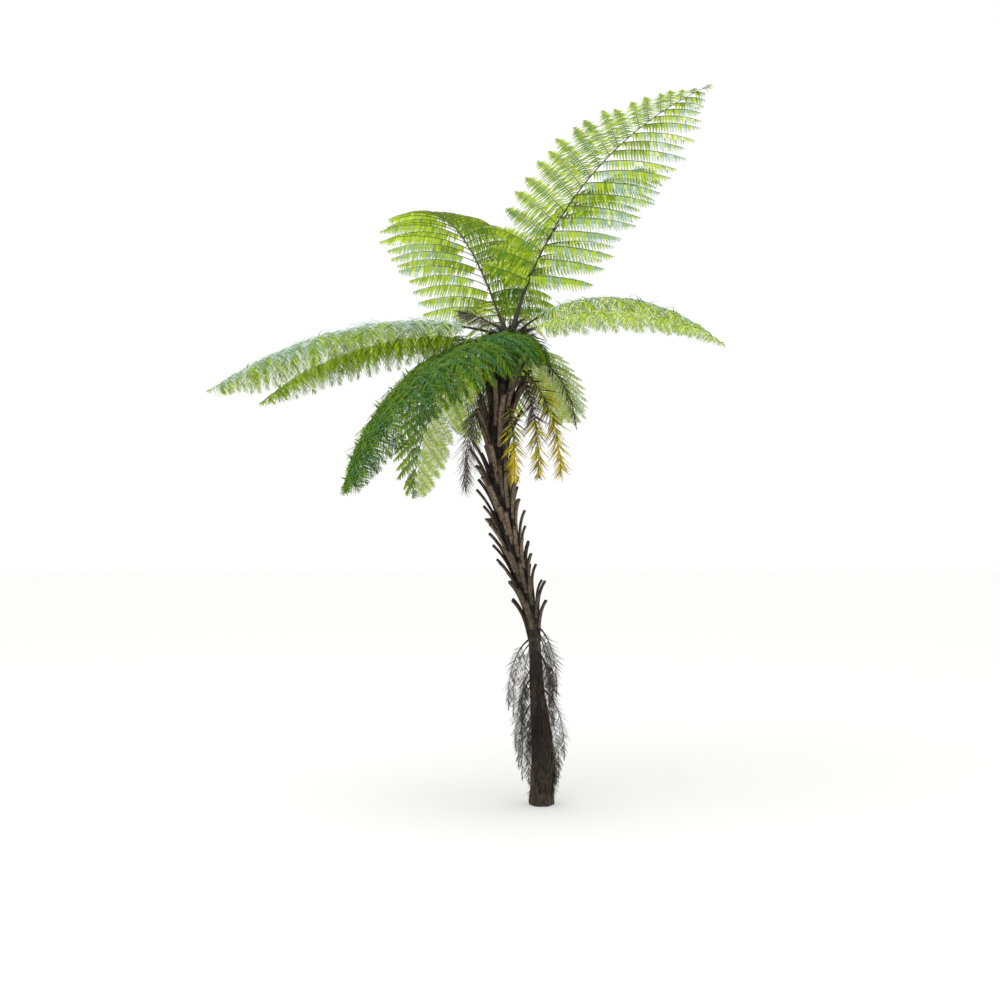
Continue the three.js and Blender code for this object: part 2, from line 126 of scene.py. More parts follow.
# Points round each kind of stalk.
RIB_SIDES, COSTA_SIDES, DEAD_RIB_SIDES, STRAND_SIDES, THREAD_SIDES = 10, 3, 8, 6, 4
RIB_TAPER = 0.24  # rib thickness at the tip over that at the foot
RIB_LEAST = 0.0016
RIB_FLARE = 2.4  # how much thicker a rib is at its foot
RIB_FLARE_LENGTH = 0.10
LEAFLET_SHORTEST = 0.045
LEAFLET_SAG = 0.8  # how far a frond's droop bends a leaflet, either side of its middle
TERMINAL_SHARE = 0.16  # the last leaflet, at the rib's tip, over the longest
PAIR_STAGGER = 0.18  # how far each leaflet of a pair is moved along, over the step between pairs
PAIR_SCATTER = 0.06  # and how far chance moves it
LAST_PAIR = 0.3  # the last pair's least distance from the blade's end, in such steps
SLIM_START = 0.22  # share of the blade where a slim frond starts to narrow
SLIM_REACH = 0.26  # and over which it does
COSTA_STEPS = 12
COSTA_TAPER = 0.4  # costa thickness at the tip over that at the foot
SLENDER_COSTA = 0.003  # a costa thinner than this stays green
LEAST_BLADES = 3  # on each side of a leaflet
BLADE_STAGGER = 0.2  # how far each side's blades are moved along, over their spacing
BLADE_SLIMMEST = 0.5  # a blade's width over its length at most
FOOT_BLADES = 0.15  # share of a leaflet over which its blades lengthen
FOOT_BLADE_SHARE = 0.6  # its first blades over the longest
TIP_BLADE_LOSS = 0.85  # how much shorter its last blades are
TIP_BLADE_BEND = 3.2
TURN_OVER = 0.3  # share of a leaflet over which its inner colour gives way to the outer one
SHADED_SHARE = 0.6  # of the blades in a leaflet's shaded row, painted one colour darker as shade
UP = np.array((0.0, 0.0, 1.0))

# Chance: what a length, droop, sag or bow is multiplied by lies between these two, and an angle is
# off by about so many degrees.
LENGTH_SPREAD = (0.92, 1.03)
DROOP_SPREAD = (0.85, 1.15)
NAKED_SPREAD = (0.1, 1.8)
SAG_SPREAD = (0.6, 1.4)
BOW_SPREAD = (0.5, 1.5)
DRY_BOW_SPREAD = (0.4, 1.6)
LEAFLET_JITTER = 2.0
DRY_BLADE_JITTER = 4.0
# Shares of a leaflet, and of a dead rib, about which the inner colour gives way to the outer one.
LIVING_TURNS = (0.35, 0.6)
DRY_TURNS = (0.4, 0.7)
# Seeds. A frond adds its number in its list.
THREAD_SEED, BASE_SEED, SKIRT_SEED = 11, 23, 41
LIVING_SEED, DEAD_SEED, BUD_SEED, GOLDEN_SEED = 100, 200, 250, 300

# Colours of living blades, from painted shade to the painted glow of light shining through them,
# and then to a waxy bloom whose pale colour is partly a painted reflection of the sky; each with
# the darker one that its shaded blades take as painted shade. A blade's outer half takes the
# next colour of the list.
BLADE_SHADES = {
    "glaucous": "shaded",
    "shaded": "shaded",
    "deep": "shaded",
    "grass": "deep",
    "leaf": "grass",
    "fresh": "leaf",
    "sunlit": "fresh",
    "pale": "sunlit",
    "sage": "fresh",
    "bloom": "sage",
}
BLADE_COLOURS = tuple(BLADE_SHADES)
# Painted shade: for each blade colour, the darker one that its shaded blades take.
DARKER = np.array([BLADE_COLOURS.index(name) for name in BLADE_SHADES.values()])
BLOOMS = {"bloom": 0.2, "sage": 0.1}  # how thick the wax is on blades of these colours
LIVING_ROUGHNESS = 0.46


@dataclass(frozen=True)
class Habit:
    """How blades stand on a leaflet's costa or on a dead rib. spacing: between two blades on one
    side. shortest, longest: lengths of a blade. breadth: width over spacing. angles: to the costa
    or rib, at its foot and tip. sag: how far gravity turns a dead rib's blades. curl: how far a
    blade bows, over its length. costa: radius at the costa's foot. scatter: random roll about the
    costa or rib. bushy: spread of the lengths."""

    spacing: float = 0.015
    shortest: float = 0.035
    longest: float = 0.085
    breadth: float = 0.9
    angles: tuple = (84.0, 52.0)
    sag: float = 0.25
    curl: float = 0.3
    costa: float = 0.0042
    scatter: float = 6.0
    bushy: float = 0.08


LUSH = Habit()
BUSHY = Habit(spacing=0.0085, breadth=1.3, scatter=22.0, costa=0.0022)
FEATHERY = Habit(spacing=0.0080, breadth=0.40, angles=(50.0, 30.0), sag=0.3, scatter=55.0,
                 bushy=0.35)
GOLDEN = Habit(spacing=0.0065, breadth=1.5, angles=(62.0, 38.0), sag=0.1, curl=0.2,
               scatter=50.0, bushy=0.3)
BRISTLY = Habit(spacing=0.0045, breadth=0.55, angles=(54.0, 34.0), sag=0.2, curl=0.25,
                scatter=50.0, bushy=0.3)


@dataclass(frozen=True)
class Frond:
    """seat, foot: heading and height of the joint on the trunk. heading: way it goes. rise, fall:
    slope at foot and tip. bend: over 1 bends late. rib: thickness at the foot. span: longest
    leaflet, or longest blade of a dead frond. pairs: of leaflets on the solid frond. crowd: how
    many times as many grow here. tilt: roll about the rib. droop: how far leaflets hang. lift: how
    far they rise from the rib first. loss: how much shorter the last ones are. first: length of
    the first ones over the longest. bare: share of the rib without leaflets. backward: how far the
    first ones lean back. naked: share of a leaflet without blades. slim: how much narrower the
    frond's outer part is. reach: blade length over the room between leaflets. sags: how far gravity
    turns the blades on its left and right. angles: leaflets to the rib, at foot and tip. inner,
    outer: blade colours near the rib and away from it, and far_inner, far_outer those on its right,
    where they differ."""

    name: str
    seat: float
    foot: float
    heading: float
    rise: float
    fall: float
    bend: float
    length: float
    rib: float
    span: float
    pairs: int = 0
    droop: float = 20.0
    tilt: float = 0.0
    lift: float = 0.0
    crowd: float = 1.0
    loss: float = 0.92
    first: float = FIRST_SHARE
    bare: float = BARE_SHARE
    backward: float = 0.0
    naked: float = 0.0
    slim: float = 0.0
    reach: float = 0.78
    sags: tuple = (0.25, 0.25)
    angles: tuple = (80.0, 50.0)
    inner: tuple = ("deep", "leaf")
    outer: tuple = ("leaf", "fresh")
    far_inner: tuple = ()
    far_outer: tuple = ()
    habit: Habit = LUSH

    def place(self, v):
        """Share of the rib where a share of the blade lies."""
        return self.bare + (BLADE_END - self.bare) * v

    def room(self):
        """Length of rib between two pairs of leaflets."""
        return self.length * (BLADE_END - self.bare) / self.pairs

    def outline(self, v):
        """Length of the leaflets or blades along the rib, as a share of the longest."""
        rise = self.first + ease(np.clip(v / WIDEST, 0, 1), 1 - self.first)
        past = np.maximum(v - WIDEST, 0) / (1 - WIDEST)
        return np.where(v < WIDEST, rise, 1 - self.loss * past**LOSS_BEND)

    def slimming(self, v):
        """Share of a leaflet's length that is left where the blade is slim."""
        return 1 - ease(min(max((v - SLIM_START) / SLIM_REACH, 0), 1), self.slim)

    def nodes(self):
        """Names of the solids that hold this frond's place."""
        names = (self.name, self.name + "_inner", self.name + "_outer")
        return [node for node in frame["nodes"] if node in names]


# What the fronds that arch like plumes have in common.
PLUME = {"habit": BUSHY, "reach": 0.95, "angles": (60, 42), "crowd": 1.3}
LIVING_FRONDS = (
    Frond("frond_high_right", 5, 2.945, 31, 77, 27, 0.8, 2.400, 0.013, 0.520, 19, droop=10,
          tilt=40, lift=10, reach=0.74, angles=(82, 34), sags=(0.1, 0.9),
          inner=("grass", "leaf"), outer=("leaf", "grass"), far_inner=("leaf", "sage"),
          far_outer=("bloom", "sage", "pale"),
          habit=Habit(spacing=0.018, breadth=1.05, costa=0.0036)),
    Frond("frond_high_back_right", 65, 2.935, 50, 70, 10, 1.0, 2.180, 0.012, 0.500, 17, droop=30,
          reach=0.6, sags=(0.4, 0.7), inner=("deep", "sage"), outer=("leaf", "fresh"),
          far_inner=("leaf", "sage"), far_outer=("sunlit", "sage", "pale"),
          habit=Habit(spacing=0.020)),
    Frond("frond_high_left", 125, 2.940, 110, 48, 10, 1.5, 2.050, 0.015, 0.640, 17, droop=12,
          lift=18, bare=0.08, crowd=1.2, naked=0.2, sags=(1.1, 1.3),
          inner=("fresh", "sage", "leaf"), outer=("fresh", "sunlit", "sage"),
          far_inner=("grass", "leaf"), far_outer=("leaf", "fresh", "sage"),
          habit=Habit(spacing=0.017, breadth=1.0, costa=0.0034)),
    Frond("frond_left_upper", 185, 2.930, 190, 20, -32, 0.7, 1.850, 0.012, 0.450, 17, droop=52,
          lift=22, loss=0.8, inner=("bloom",), outer=("leaf", "fresh"), **PLUME),
    Frond("frond_left_lower", 170, 2.885, 170, 10, -34, 1.0, 1.640, 0.011, 0.310, 15, droop=42,
          lift=26, loss=0.82, inner=("grass", "leaf"), outer=("fresh", "leaf"), **PLUME),
    Frond("frond_front_left", 235, 2.930, 218, -10, -67, 1.0, 1.550, 0.012, 0.480, 16, droop=44,
          lift=22, reach=1.0, bare=0.06, backward=58, first=1.05, slim=0.2, loss=0.7,
          angles=(98, 34), crowd=2.0, inner=("glaucous", "deep"), outer=("glaucous", "deep"),
          far_inner=("shaded", "deep"), far_outer=("deep", "shaded", "grass"), habit=BUSHY),
    Frond("frond_back_left", 148, 2.855, 148, 0, -88, 0.7, 1.220, 0.010, 0.350, 14, droop=14,
          tilt=15, reach=0.9, angles=(62, 42), loss=0.7, sags=(0.5, 0.1),
          inner=("deep", "grass"), outer=("grass", "leaf"), far_inner=("sunlit", "pale"),
          far_outer=("pale", "sunlit"), habit=Habit(spacing=0.011, breadth=1.2, costa=0.003)),
    Frond("frond_right_upper", 345, 2.905, 5, 62, -36, 0.6, 1.450, 0.011, 0.310, 15, droop=32,
          lift=18, inner=("fresh", "leaf"), outer=("sunlit", "fresh"),
          far_inner=("bloom", "bloom", "sage"), far_outer=("sunlit", "pale"), **PLUME),
    Frond("frond_right_lower", 310, 2.885, 350, 44, -22, 0.6, 1.250, 0.010, 0.260, 13, droop=32,
          lift=12, inner=("sunlit", "pale"), outer=("pale", "sunlit"), **PLUME),
    Frond("frond_back_right", 38, 2.905, 42, 6, -68, 0.55, 0.700, 0.009, 0.340, 11, droop=10,
          reach=1.0, angles=(64, 38), crowd=1.4, loss=0.7, sags=(0.1, 0.3), inner=("sunlit",),
          outer=("sunlit", "pale"), far_inner=("sunlit",), far_outer=("sunlit", "pale"),
          habit=Habit(spacing=0.0085, breadth=1.2, scatter=10.0, costa=0.002)),
    Frond("frond_back_upper", 95, 2.895, 95, 38, -22, 1.3, 1.500, 0.011, 0.430, 14, droop=40,
          crowd=0.7, reach=0.4, inner=("sunlit", "sage"), outer=("pale", "sage")),
    Frond("frond_back_lower", 108, 2.835, 102, 6, -60, 1.0, 1.150, 0.010, 0.400, 12, droop=40,
          crowd=1.3, inner=("deep", "leaf"), outer=("leaf", "fresh")),
)

# Dead fronds bear single blades along the rib in place of leaflets.
DEAD_FRONDS = (
    Frond("dead_frond_left_front", 215, 2.700, 205, -10, -93, 0.35, 0.820, 0.007, 0.150,
          crowd=1.3, loss=0.6, inner=("withered", "ashen"), outer=("withered", "ashen"),
          habit=FEATHERY),
    Frond("dead_frond_left_back", 146, 2.680, 150, -10, -90, 0.35, 0.760, 0.007, 0.140,
          crowd=1.3, loss=0.6, inner=("withered", "ashen"), outer=("withered", "ashen"),
          habit=FEATHERY),
    Frond("dead_frond_right_wiry", 0, 2.845, 345, 20, -85, 0.5, 0.720, 0.010, 0.080, crowd=1.5,
          inner=("charred",), outer=("charred", "ashen"), habit=FEATHERY),
    Frond("dead_frond_high_left", 150, 2.955, 172, 40, 10, 1.0, 0.330, 0.006, 0.100, crowd=3.5,
          bare=0.3, loss=0.5, inner=("ashen",), outer=("ashen", "withered"), habit=FEATHERY),
)
GOLDEN_FRONDS = (
    Frond("dead_frond_right_olive", 320, 2.780, 323, -12, -91, 0.3, 0.800, 0.009, 0.100,
          loss=0.55, inner=("withered",), outer=("withered", "olive", "golden"), habit=GOLDEN),
    Frond("dead_frond_right_golden", 0, 2.765, 0, 2, -90, 0.36, 0.820, 0.009, 0.115, loss=0.55,
          inner=("olive", "withered"), outer=("golden", "olive"), habit=GOLDEN),
    Frond("golden_near", 300, 2.560, 300, -30, -92, 0.3, 0.560, 0.007, 0.095, loss=0.55,
          inner=("withered", "olive"), outer=("golden",), habit=GOLDEN),
)
# Scaly buds and rib stubs stand in the heart of the crown.
BUD = Frond("crown_bud", 0, 2.930, 0, 60, 20, 1.0, 0.150, 0.016, 0.040, crowd=2.2, bare=0.1,
            loss=0.3, inner=("charred", "withered"), outer=("withered", "ashen"),
            habit=FEATHERY)
WITHERED_COLOURS = ("withered", "ashen", "charred", "olive", "golden", "amber")

# Old ribs hang in a skirt that steps down the foot of the trunk and ends just above the ground.
STRAND = Frond("skirt_strand", 0, 0, 0, 5, -94, 0.28, 0.500, 0.005, 0.080, inner=("charred",),
               outer=("charred", "withered"), habit=BRISTLY)
STRAND_COUNT = 8  # solid strands; the others are loose between them
STRAND_HIGHEST = 1.110
STRAND_LOWEST = 0.570
STRAND_HEADING = 30.0
LOOSE_STRAND_LOWEST = 0.14
LOOSE_STRAND_RIB = 0.0035
HANGING_SHARE = 0.80  # a loose strand's length at most, over its foot's height
SPIRAL_TURN = 137.5  # degrees from each strand or leaf base to the next

# Cut leaf bases climb the trunk in a spiral, hugging it and then leaning out; the upper ones are
# longer and stand closer. A pair holds the lowest one's value and the highest one's.
BASE_COUNT = 50
BASE_LOWEST = 1.030
BASE_HIGHEST = 2.420
BASE_HEADING = 185.0
BASE_LENGTHS = (0.270, 0.370)
BASE_WIDTHS = (0.029, 0.036)
BASE_LEANS = (58.0, 32.0)
BASE_HUG = 9.0
BASE_CURL = 1.5
BASE_CUTS = 4
BASE_CUT_STEP = 0.05
BASE_INSET = 0.009
BASE_END_SHARE = 0.85
BASE_FLATNESS = 0.8
BASE_STEPS = 3  # steps in which the solid leaf bases are worked out
STRAP_STEPS = 14  # the fine leaf bases: steps along, points round the back and across the hollow
STRAP_ARC = 7
STRAP_TROUGH = 4
STRAP_FOOT_STEPS = 3  # of those steps, the ones in the gap at its foot, painted dark as shade
STRAP_FLARE = 1.12  # how much wider its foot is
STRAP_LIP = 0.55  # height of the hollow's rims, over the strap's depth
STRAP_HOLLOWS = (0.75, 0.35)  # depth of the hollow at its foot and its end
STRAP_WOBBLE = 0.02
PITH_SHARE = 0.72  # width of the pith over the cut end's
PITH_SUNK = 0.004
TAN_FROM = 1.4  # height from which some leaf bases are still tan
TAN_SHARE = 0.75
LOOSE_BASES = 34  # loose bases between the solid ones, from the lowest up
LOOSE_BASE_RISE = 0.014
LOOSE_BASE_HUG = BASE_HUG + 3
# Stubs of the last fronds to fall: they spread below the crown like a hand.
STUB_COUNT = 18
STUB_HEADING = BASE_HEADING + 40
STUB_LOWEST = 2.180
STUB_HIGHEST = 2.660
STUB_LENGTH = 0.320
STUB_WIDTH = 0.042
STUB_LEAN = 44.0
STUB_HUG = 15.0

# ---- light and camera ----

KEY_SIZE = 5.0  # across the soft light overhead
KEY_PLACE = (-2.5, -1.5, 8.5)
KEY_TURN = (14.0, -20.0, 0.0)
LENS = 51.7  # millimetres
FAR_END = 200.0  # how far the camera sees
CAMERA_PLACE = (-0.26, -9.0, 1.906)
CAMERA_TURN = (90.0, 0.0, 0.0)

# ---- small helpers ----


def linear(code):
    """Linear red, green and blue of an sRGB hex colour."""
    parts = [int(code[i:i + 2], 16) / 255 for i in (1, 3, 5)]
    return tuple(c / 12.92 if c <= 0.04045 else ((c + 0.055) / 1.055) ** 2.4 for c in parts)


def mix(a, b, t):
    return a + (b - a) * t


def ease(t, by=1):
    """Smooth step from 0 to by."""
    return by * t * t * (3 - 2 * t)


def unit(v):
    return v / np.linalg.norm(v, axis=-1, keepdims=True)


def across_to(direction, way):
    """The part of a direction that is square to a way, at unit length."""
    return unit(direction - np.sum(direction * way, axis=-1, keepdims=True) * way)


def compass(heading):
    turn = math.radians(heading)
    return np.array((math.cos(turn), math.sin(turn), 0.0))


def along(rows, z):
    """Smooth curve through rows of height and values. A row's slope is that from the row before it
    to the row after it."""
    rows = np.asarray(rows)
    levels, values = rows[:, 0], rows[:, 1:]
    numbers = np.arange(len(rows))
    before = np.maximum(numbers - 1, 0)
    after = np.minimum(numbers + 1, len(rows) - 1)
    slopes = (values[after] - values[before]) / (levels[after] - levels[before])[:, None]
    held = np.clip(z, levels[0], levels[-1])
    i = np.clip(np.searchsorted(levels, held, side="right") - 1, 0, len(rows) - 2)
    reach = (levels[i + 1] - levels[i])[..., None]
    t = (held - levels[i])[..., None] / reach
    return ((2 * t**3 - 3 * t**2 + 1) * values[i] + (3 * t**2 - 2 * t**3) * values[i + 1]
            + (t**3 - 2 * t**2 + t) * slopes[i] * reach + (t**3 - t**2) * slopes[i + 1] * reach)


def trunk_centre(z):
    z = np.asarray(z, float)
    return np.concatenate([along(TRUNK_BENDS, z), z[..., None]], axis=-1)


def trunk_way(z):
    """The way the trunk climbs at a height."""
    return unit(trunk_centre(z + WAY_REACH) - trunk_centre(z - WAY_REACH))


def trunk_radius(z):
    dome = np.maximum(z - DOME_FOOT, 0) / (TRUNK_TOP - DOME_FOOT)
    return along(TRUNK_GIRTHS, z)[..., 0] * np.sqrt(np.maximum(1 - dome * dome, 0))


def trunk_swell(turn, z):
    return 1 + sum(height * np.sin(lobes * turn + z / climb) for lobes, height, climb in SWELLINGS)


def trunk_relief(turn, z):
    """Height of the matted cords over the trunk's smooth shape; they stand highest at its foot."""
    bold = mix(CORD_LEAST, 1, np.clip((WAIST - z) / WAIST, 0, 1))
    fade = np.clip((TRUNK_TOP - z) / (TRUNK_TOP - DOME_FOOT), 0, 1)
    cords = 0.0
    for count, height, climb, start in CORDS:
        wander = 0.9 * np.sin(z / climb + start) + 0.5 * np.sin(2.7 * z / climb + 2 * start)
        hollow = np.abs(np.sin((count * turn + wander) / 2)) ** CORD_CREST
        cords = cords + height * (1 - hollow)
    knobs = KNOB_HEIGHT * np.sin(9 * turn + 40 * z) * np.sin(z / KNOB_CLIMB + 2 * np.sin(3 * turn))
    near_waist = np.exp(-(((z - WAIST) / KNOB_SPREAD) ** 2))
    return (cords * bold - CORD_SUNK + knobs * near_waist) * fade


def trunk_surface(turn, z, lift=0.0):
    """Points on the mantle, or lifted off it, at turns about the trunk's line and heights."""
    radius = trunk_radius(z) * trunk_swell(turn, z) + trunk_relief(turn, z) + lift
    offset = (np.cos(turn) * radius, np.sin(turn) * radius, np.zeros_like(radius))
    return trunk_centre(z) + np.stack(offset, axis=-1)


def rib_path(frond):
    """Points and directions along a frond's rib, in equal steps from its foot in the trunk."""
    shares = (np.arange(PATH_STEPS) + 0.5) / PATH_STEPS
    slopes = np.radians(frond.rise - (frond.rise - frond.fall) * shares**frond.bend)
    ways = np.cos(slopes)[:, None] * compass(frond.heading) + np.sin(slopes)[:, None] * UP
    start = trunk_centre(frond.foot) + compass(frond.seat) * FOOT_INSET
    steps = np.cumsum(ways * frond.length / PATH_STEPS, axis=0)
    return np.vstack([start, start + steps]), np.vstack([ways, ways[-1]])


def rib_frames(frond, path, shares):
    """Places, directions, sideways and upward directions at shares of the rib's length."""
    points, ways = path
    shares = np.atleast_1d(shares)
    step = np.minimum((shares * PATH_STEPS).astype(int), PATH_STEPS - 1)
    part = (shares * PATH_STEPS - step)[:, None]
    place = mix(points[step], points[step + 1], part)
    way = unit(mix(ways[step], ways[step + 1], part))
    level = np.broadcast_to(compass(frond.heading - 90), way.shape)
    upright = np.cross(level, way)
    roll = math.radians(frond.tilt)
    side = level * math.cos(roll) - upright * math.sin(roll)
    return place, way, side, np.cross(side, way)


# ---- what grows on a rib ----


@dataclass
class Growth:
    """What fronds have grown. blades: places, directions, upper sides, sizes and colours. costae,
    ribs: places, thickness and colour. A colour is a number in a list of materials."""

    blades: list = field(default_factory=list)
    costae: list = field(default_factory=list)
    ribs: list = field(default_factory=list)


def grow_rib(growth, frond, path):
    """The rib as a stalk that thins from foot to tip."""
    shares = np.linspace(0, 1, 2 * PATH_STEPS + 1)
    places = rib_frames(frond, path, shares)[0]
    flare = 1 + RIB_FLARE * np.exp(-shares * frond.length / RIB_FLARE_LENGTH)
    thickness = np.maximum(frond.rib / 2 * mix(1, RIB_TAPER, shares) * flare, RIB_LEAST)
    growth.ribs.append((places, thickness, 0))


@dataclass
class Leaflet:
    """place, start: foot and first direction of its costa. hint: the way its outer row lies.
    upper: its upper side. colours: numbers for its inner and its outer blades. room: how long its
    blades may be. lift: how far it rises before it droops. naked: share without blades. sag: how
    far gravity turns its blades."""

    place: np.ndarray
    start: np.ndarray
    hint: np.ndarray
    upper: np.ndarray
    length: float
    colours: list
    room: float = 0.0
    droop: float = 0.0
    lift: float = 0.0
    naked: float = 0.0
    sag: float = 0.0


def leaflet_costa(leaf):
    """Points and directions along a leaflet's stalk, in equal steps."""
    middles = (np.arange(COSTA_STEPS) + 0.5) / COSTA_STEPS
    drops = (leaf.droop + leaf.lift / LEAFLET_SAG) * 2 * middles * LEAFLET_SAG - leaf.lift
    drops = np.radians(drops)[:, None]
    ways = leaf.start * np.cos(drops) - leaf.upper * np.sin(drops)
    steps = np.cumsum(ways * leaf.length / COSTA_STEPS, axis=0)
    return np.vstack([leaf.place, leaf.place + steps]), ways


def grow_leaflet(growth, habit, leaf, rng):
    """One leaflet: a costa that droops from the rib, with two rows of blades. Part of the row on
    the side of the frond's foot lies in the shade of the other, and is painted one colour darker as
    shade."""
    costa, ways = leaflet_costa(leaf)
    growth.costae.append((costa, habit.costa * np.linspace(1, COSTA_TAPER, COSTA_STEPS + 1), 0))
    count = max(int(leaf.length * (1 - leaf.naked) / habit.spacing), LEAST_BLADES)
    turn_over = rng.uniform(*LIVING_TURNS)
    for row in (-1, 1):
        bladed = (np.arange(count) + 0.5 + BLADE_STAGGER * row) / count
        shares = leaf.naked + (1 - leaf.naked) * bladed
        at = np.minimum((shares * COSTA_STEPS).astype(int), COSTA_STEPS - 1)
        spots = mix(costa[at], costa[at + 1], (shares * COSTA_STEPS - at)[:, None])
        side = across_to(leaf.hint, ways[at])
        roll = np.radians(rng.normal(0, habit.scatter, count))[:, None]
        side = side * np.cos(roll) + np.cross(ways[at], side) * np.sin(roll)
        angles = np.radians(mix(*habit.angles, shares))[:, None]
        blade = np.cos(angles) * ways[at] + row * np.sin(angles) * side
        sag = leaf.sag * rng.uniform(*SAG_SPREAD, count)[:, None]
        blade = unit(blade - sag * UP)
        full = min(max(leaf.room, habit.shortest), habit.longest)
        start = FOOT_BLADE_SHARE - leaf.naked
        past = np.maximum(bladed - FOOT_BLADES, 0) / (1 - FOOT_BLADES)
        taper = np.where(bladed < FOOT_BLADES, start + (1 - start) * bladed / FOOT_BLADES,
                         1 - TIP_BLADE_LOSS * past**TIP_BLADE_BEND)
        long = full * taper * rng.uniform(1 - habit.bushy, 1 + habit.bushy, count)
        step = leaf.length * (1 - leaf.naked) / count
        wide = np.minimum(step * habit.breadth, long * BLADE_SLIMMEST)
        bow = long * habit.curl * rng.uniform(*BOW_SPREAD, count)
        late = rng.random(count) < (shares - turn_over) / TURN_OVER + 0.5
        inner, outer = (rng.choice(numbers, count) for numbers in leaf.colours)
        # Painted shade: these blades take the darker colour of their own.
        shaded = (row < 0) & (rng.random(count) < SHADED_SHARE)
        colour = np.where(late, outer, inner)
        colour = np.where(shaded, DARKER[colour], colour)
        sizes = np.column_stack([long, wide, bow])
        growth.blades.append((spots, blade, across_to(leaf.upper, blade), sizes, colour))


def leaflet_colours(choices, rng):
    """For each list of names, the colours of one leaflet's blades: mostly one of them, picked by
    chance, and now and then the others. As numbers in the list of blade colours."""
    picked = []
    for names in choices:
        numbers = [BLADE_COLOURS.index(name) for name in names]
        main = numbers[rng.integers(len(numbers))]
        picked.append(np.array([main] * (2 * len(numbers)) + numbers))
    return picked


def grow_feathered(growth, frond, rng):
    """A frond whose rib bears pairs of leaflets, each with its own rows of blades."""
    path = rib_path(frond)
    grow_rib(growth, frond, path)
    pairs = round(frond.pairs * frond.crowd)
    for i in range(2 * pairs):
        hand = 2 * (i % 2) - 1
        step = i // 2 + 0.5 + PAIR_STAGGER * hand + rng.normal(0, PAIR_SCATTER)
        v = min(step, pairs - LAST_PAIR) / pairs
        place, way, side, upper = (x[0] for x in rib_frames(frond, path, frond.place(v)))
        right = hand > 0 and frond.far_inner
        names = (frond.far_inner, frond.far_outer) if right else (frond.inner, frond.outer)
        lean = mix(*frond.angles, v) + frond.backward * (1 - v) ** 6
        angle = math.radians(lean + rng.normal(0, LEAFLET_JITTER))
        long = frond.span * float(frond.outline(v)) * frond.slimming(v)
        grow_leaflet(growth, frond.habit, Leaflet(
            place=place + upper * frond.rib / 2 * mix(1, RIB_TAPER, v),
            start=math.cos(angle) * way + hand * math.sin(angle) * side,
            hint=way,
            upper=upper,
            length=max(long, LEAFLET_SHORTEST) * rng.uniform(*LENGTH_SPREAD),
            room=frond.room() * frond.reach * math.sin(min(angle, math.pi / 2)),
            droop=frond.droop * rng.uniform(*DROOP_SPREAD),
            lift=frond.lift,
            naked=frond.naked * rng.uniform(*NAKED_SPREAD) if hand < 0 else 0,
            sag=frond.sags[hand > 0],
            colours=leaflet_colours(names, rng),
        ), rng)
    place, way, side, upper = (x[0] for x in rib_frames(frond, path, 1.0))
    colours = leaflet_colours((frond.inner, frond.outer), rng)
    length = max(frond.span * TERMINAL_SHARE, LEAFLET_SHORTEST)
    grow_leaflet(growth, frond.habit, Leaflet(place, way, side, upper, length, colours), rng)


def grow_bristled(growth, frond, rng):
    """A dead frond, whose rib bears single blades in two rows that roll at random about it."""
    habit, path = frond.habit, rib_path(frond)
    grow_rib(growth, frond, path)
    count = int(frond.crowd * frond.length * (BLADE_END - frond.bare) / habit.spacing)
    for row in (-1, 1):
        v = (np.arange(count) + rng.uniform(0.1, 0.9, count)) / count
        places, ways, sides, uppers = rib_frames(frond, path, frond.place(v))
        roll = np.radians(rng.normal(0, habit.scatter, count))[:, None]
        leans = sides * np.cos(roll) + uppers * np.sin(roll)
        angles = mix(*habit.angles, v) + rng.normal(0, DRY_BLADE_JITTER, count)
        angles = np.radians(angles)[:, None]
        blade = np.cos(angles) * ways + row * np.sin(angles) * leans
        blade = unit(blade - habit.sag * UP)
        spread = rng.uniform(1 - habit.bushy, 1 + habit.bushy, count)
        long = frond.span * frond.outline(v) * spread
        wide = np.full(count, habit.spacing * habit.breadth)
        bow = long * habit.curl * rng.uniform(*DRY_BOW_SPREAD, count)
        inner, outer = (np.array([WITHERED_COLOURS.index(name) for name in names])
                        for names in (frond.inner, frond.outer))
        colour = np.where(v < rng.uniform(*DRY_TURNS, count), rng.choice(inner, count),
                          rng.choice(outer, count))
        upper = across_to(np.cross(leans, ways), blade)
        growth.blades.append((places, blade, upper, np.column_stack([long, wide, bow]), colour))


# ---- meshes ----


def mesh_object(name, vertices, faces=(), edges=()):
    """A new object at the origin, with its places in its mesh."""
    mesh = bpy.data.meshes.new(name)
    mesh.from_pydata([tuple(v) for v in vertices], edges, faces)
    mesh.update()
    made = bpy.data.objects.new(name, mesh)
    bpy.context.scene.collection.objects.link(made)
    return made


def set_attribute(mesh, name, values, domain="POINT"):
    """Stores one number or one vector for each point or face of a mesh."""
    values = np.asarray(values)
    if values.ndim == 2:
        attribute = mesh.attributes.new(name, "FLOAT_VECTOR", domain)
        attribute.data.foreach_set("vector", values.astype(np.float32).ravel())
    else:
        kind = "INT" if values.dtype.kind == "i" else "FLOAT"
        attribute = mesh.attributes.new(name, kind, domain)
        attribute.data.foreach_set("value", values)


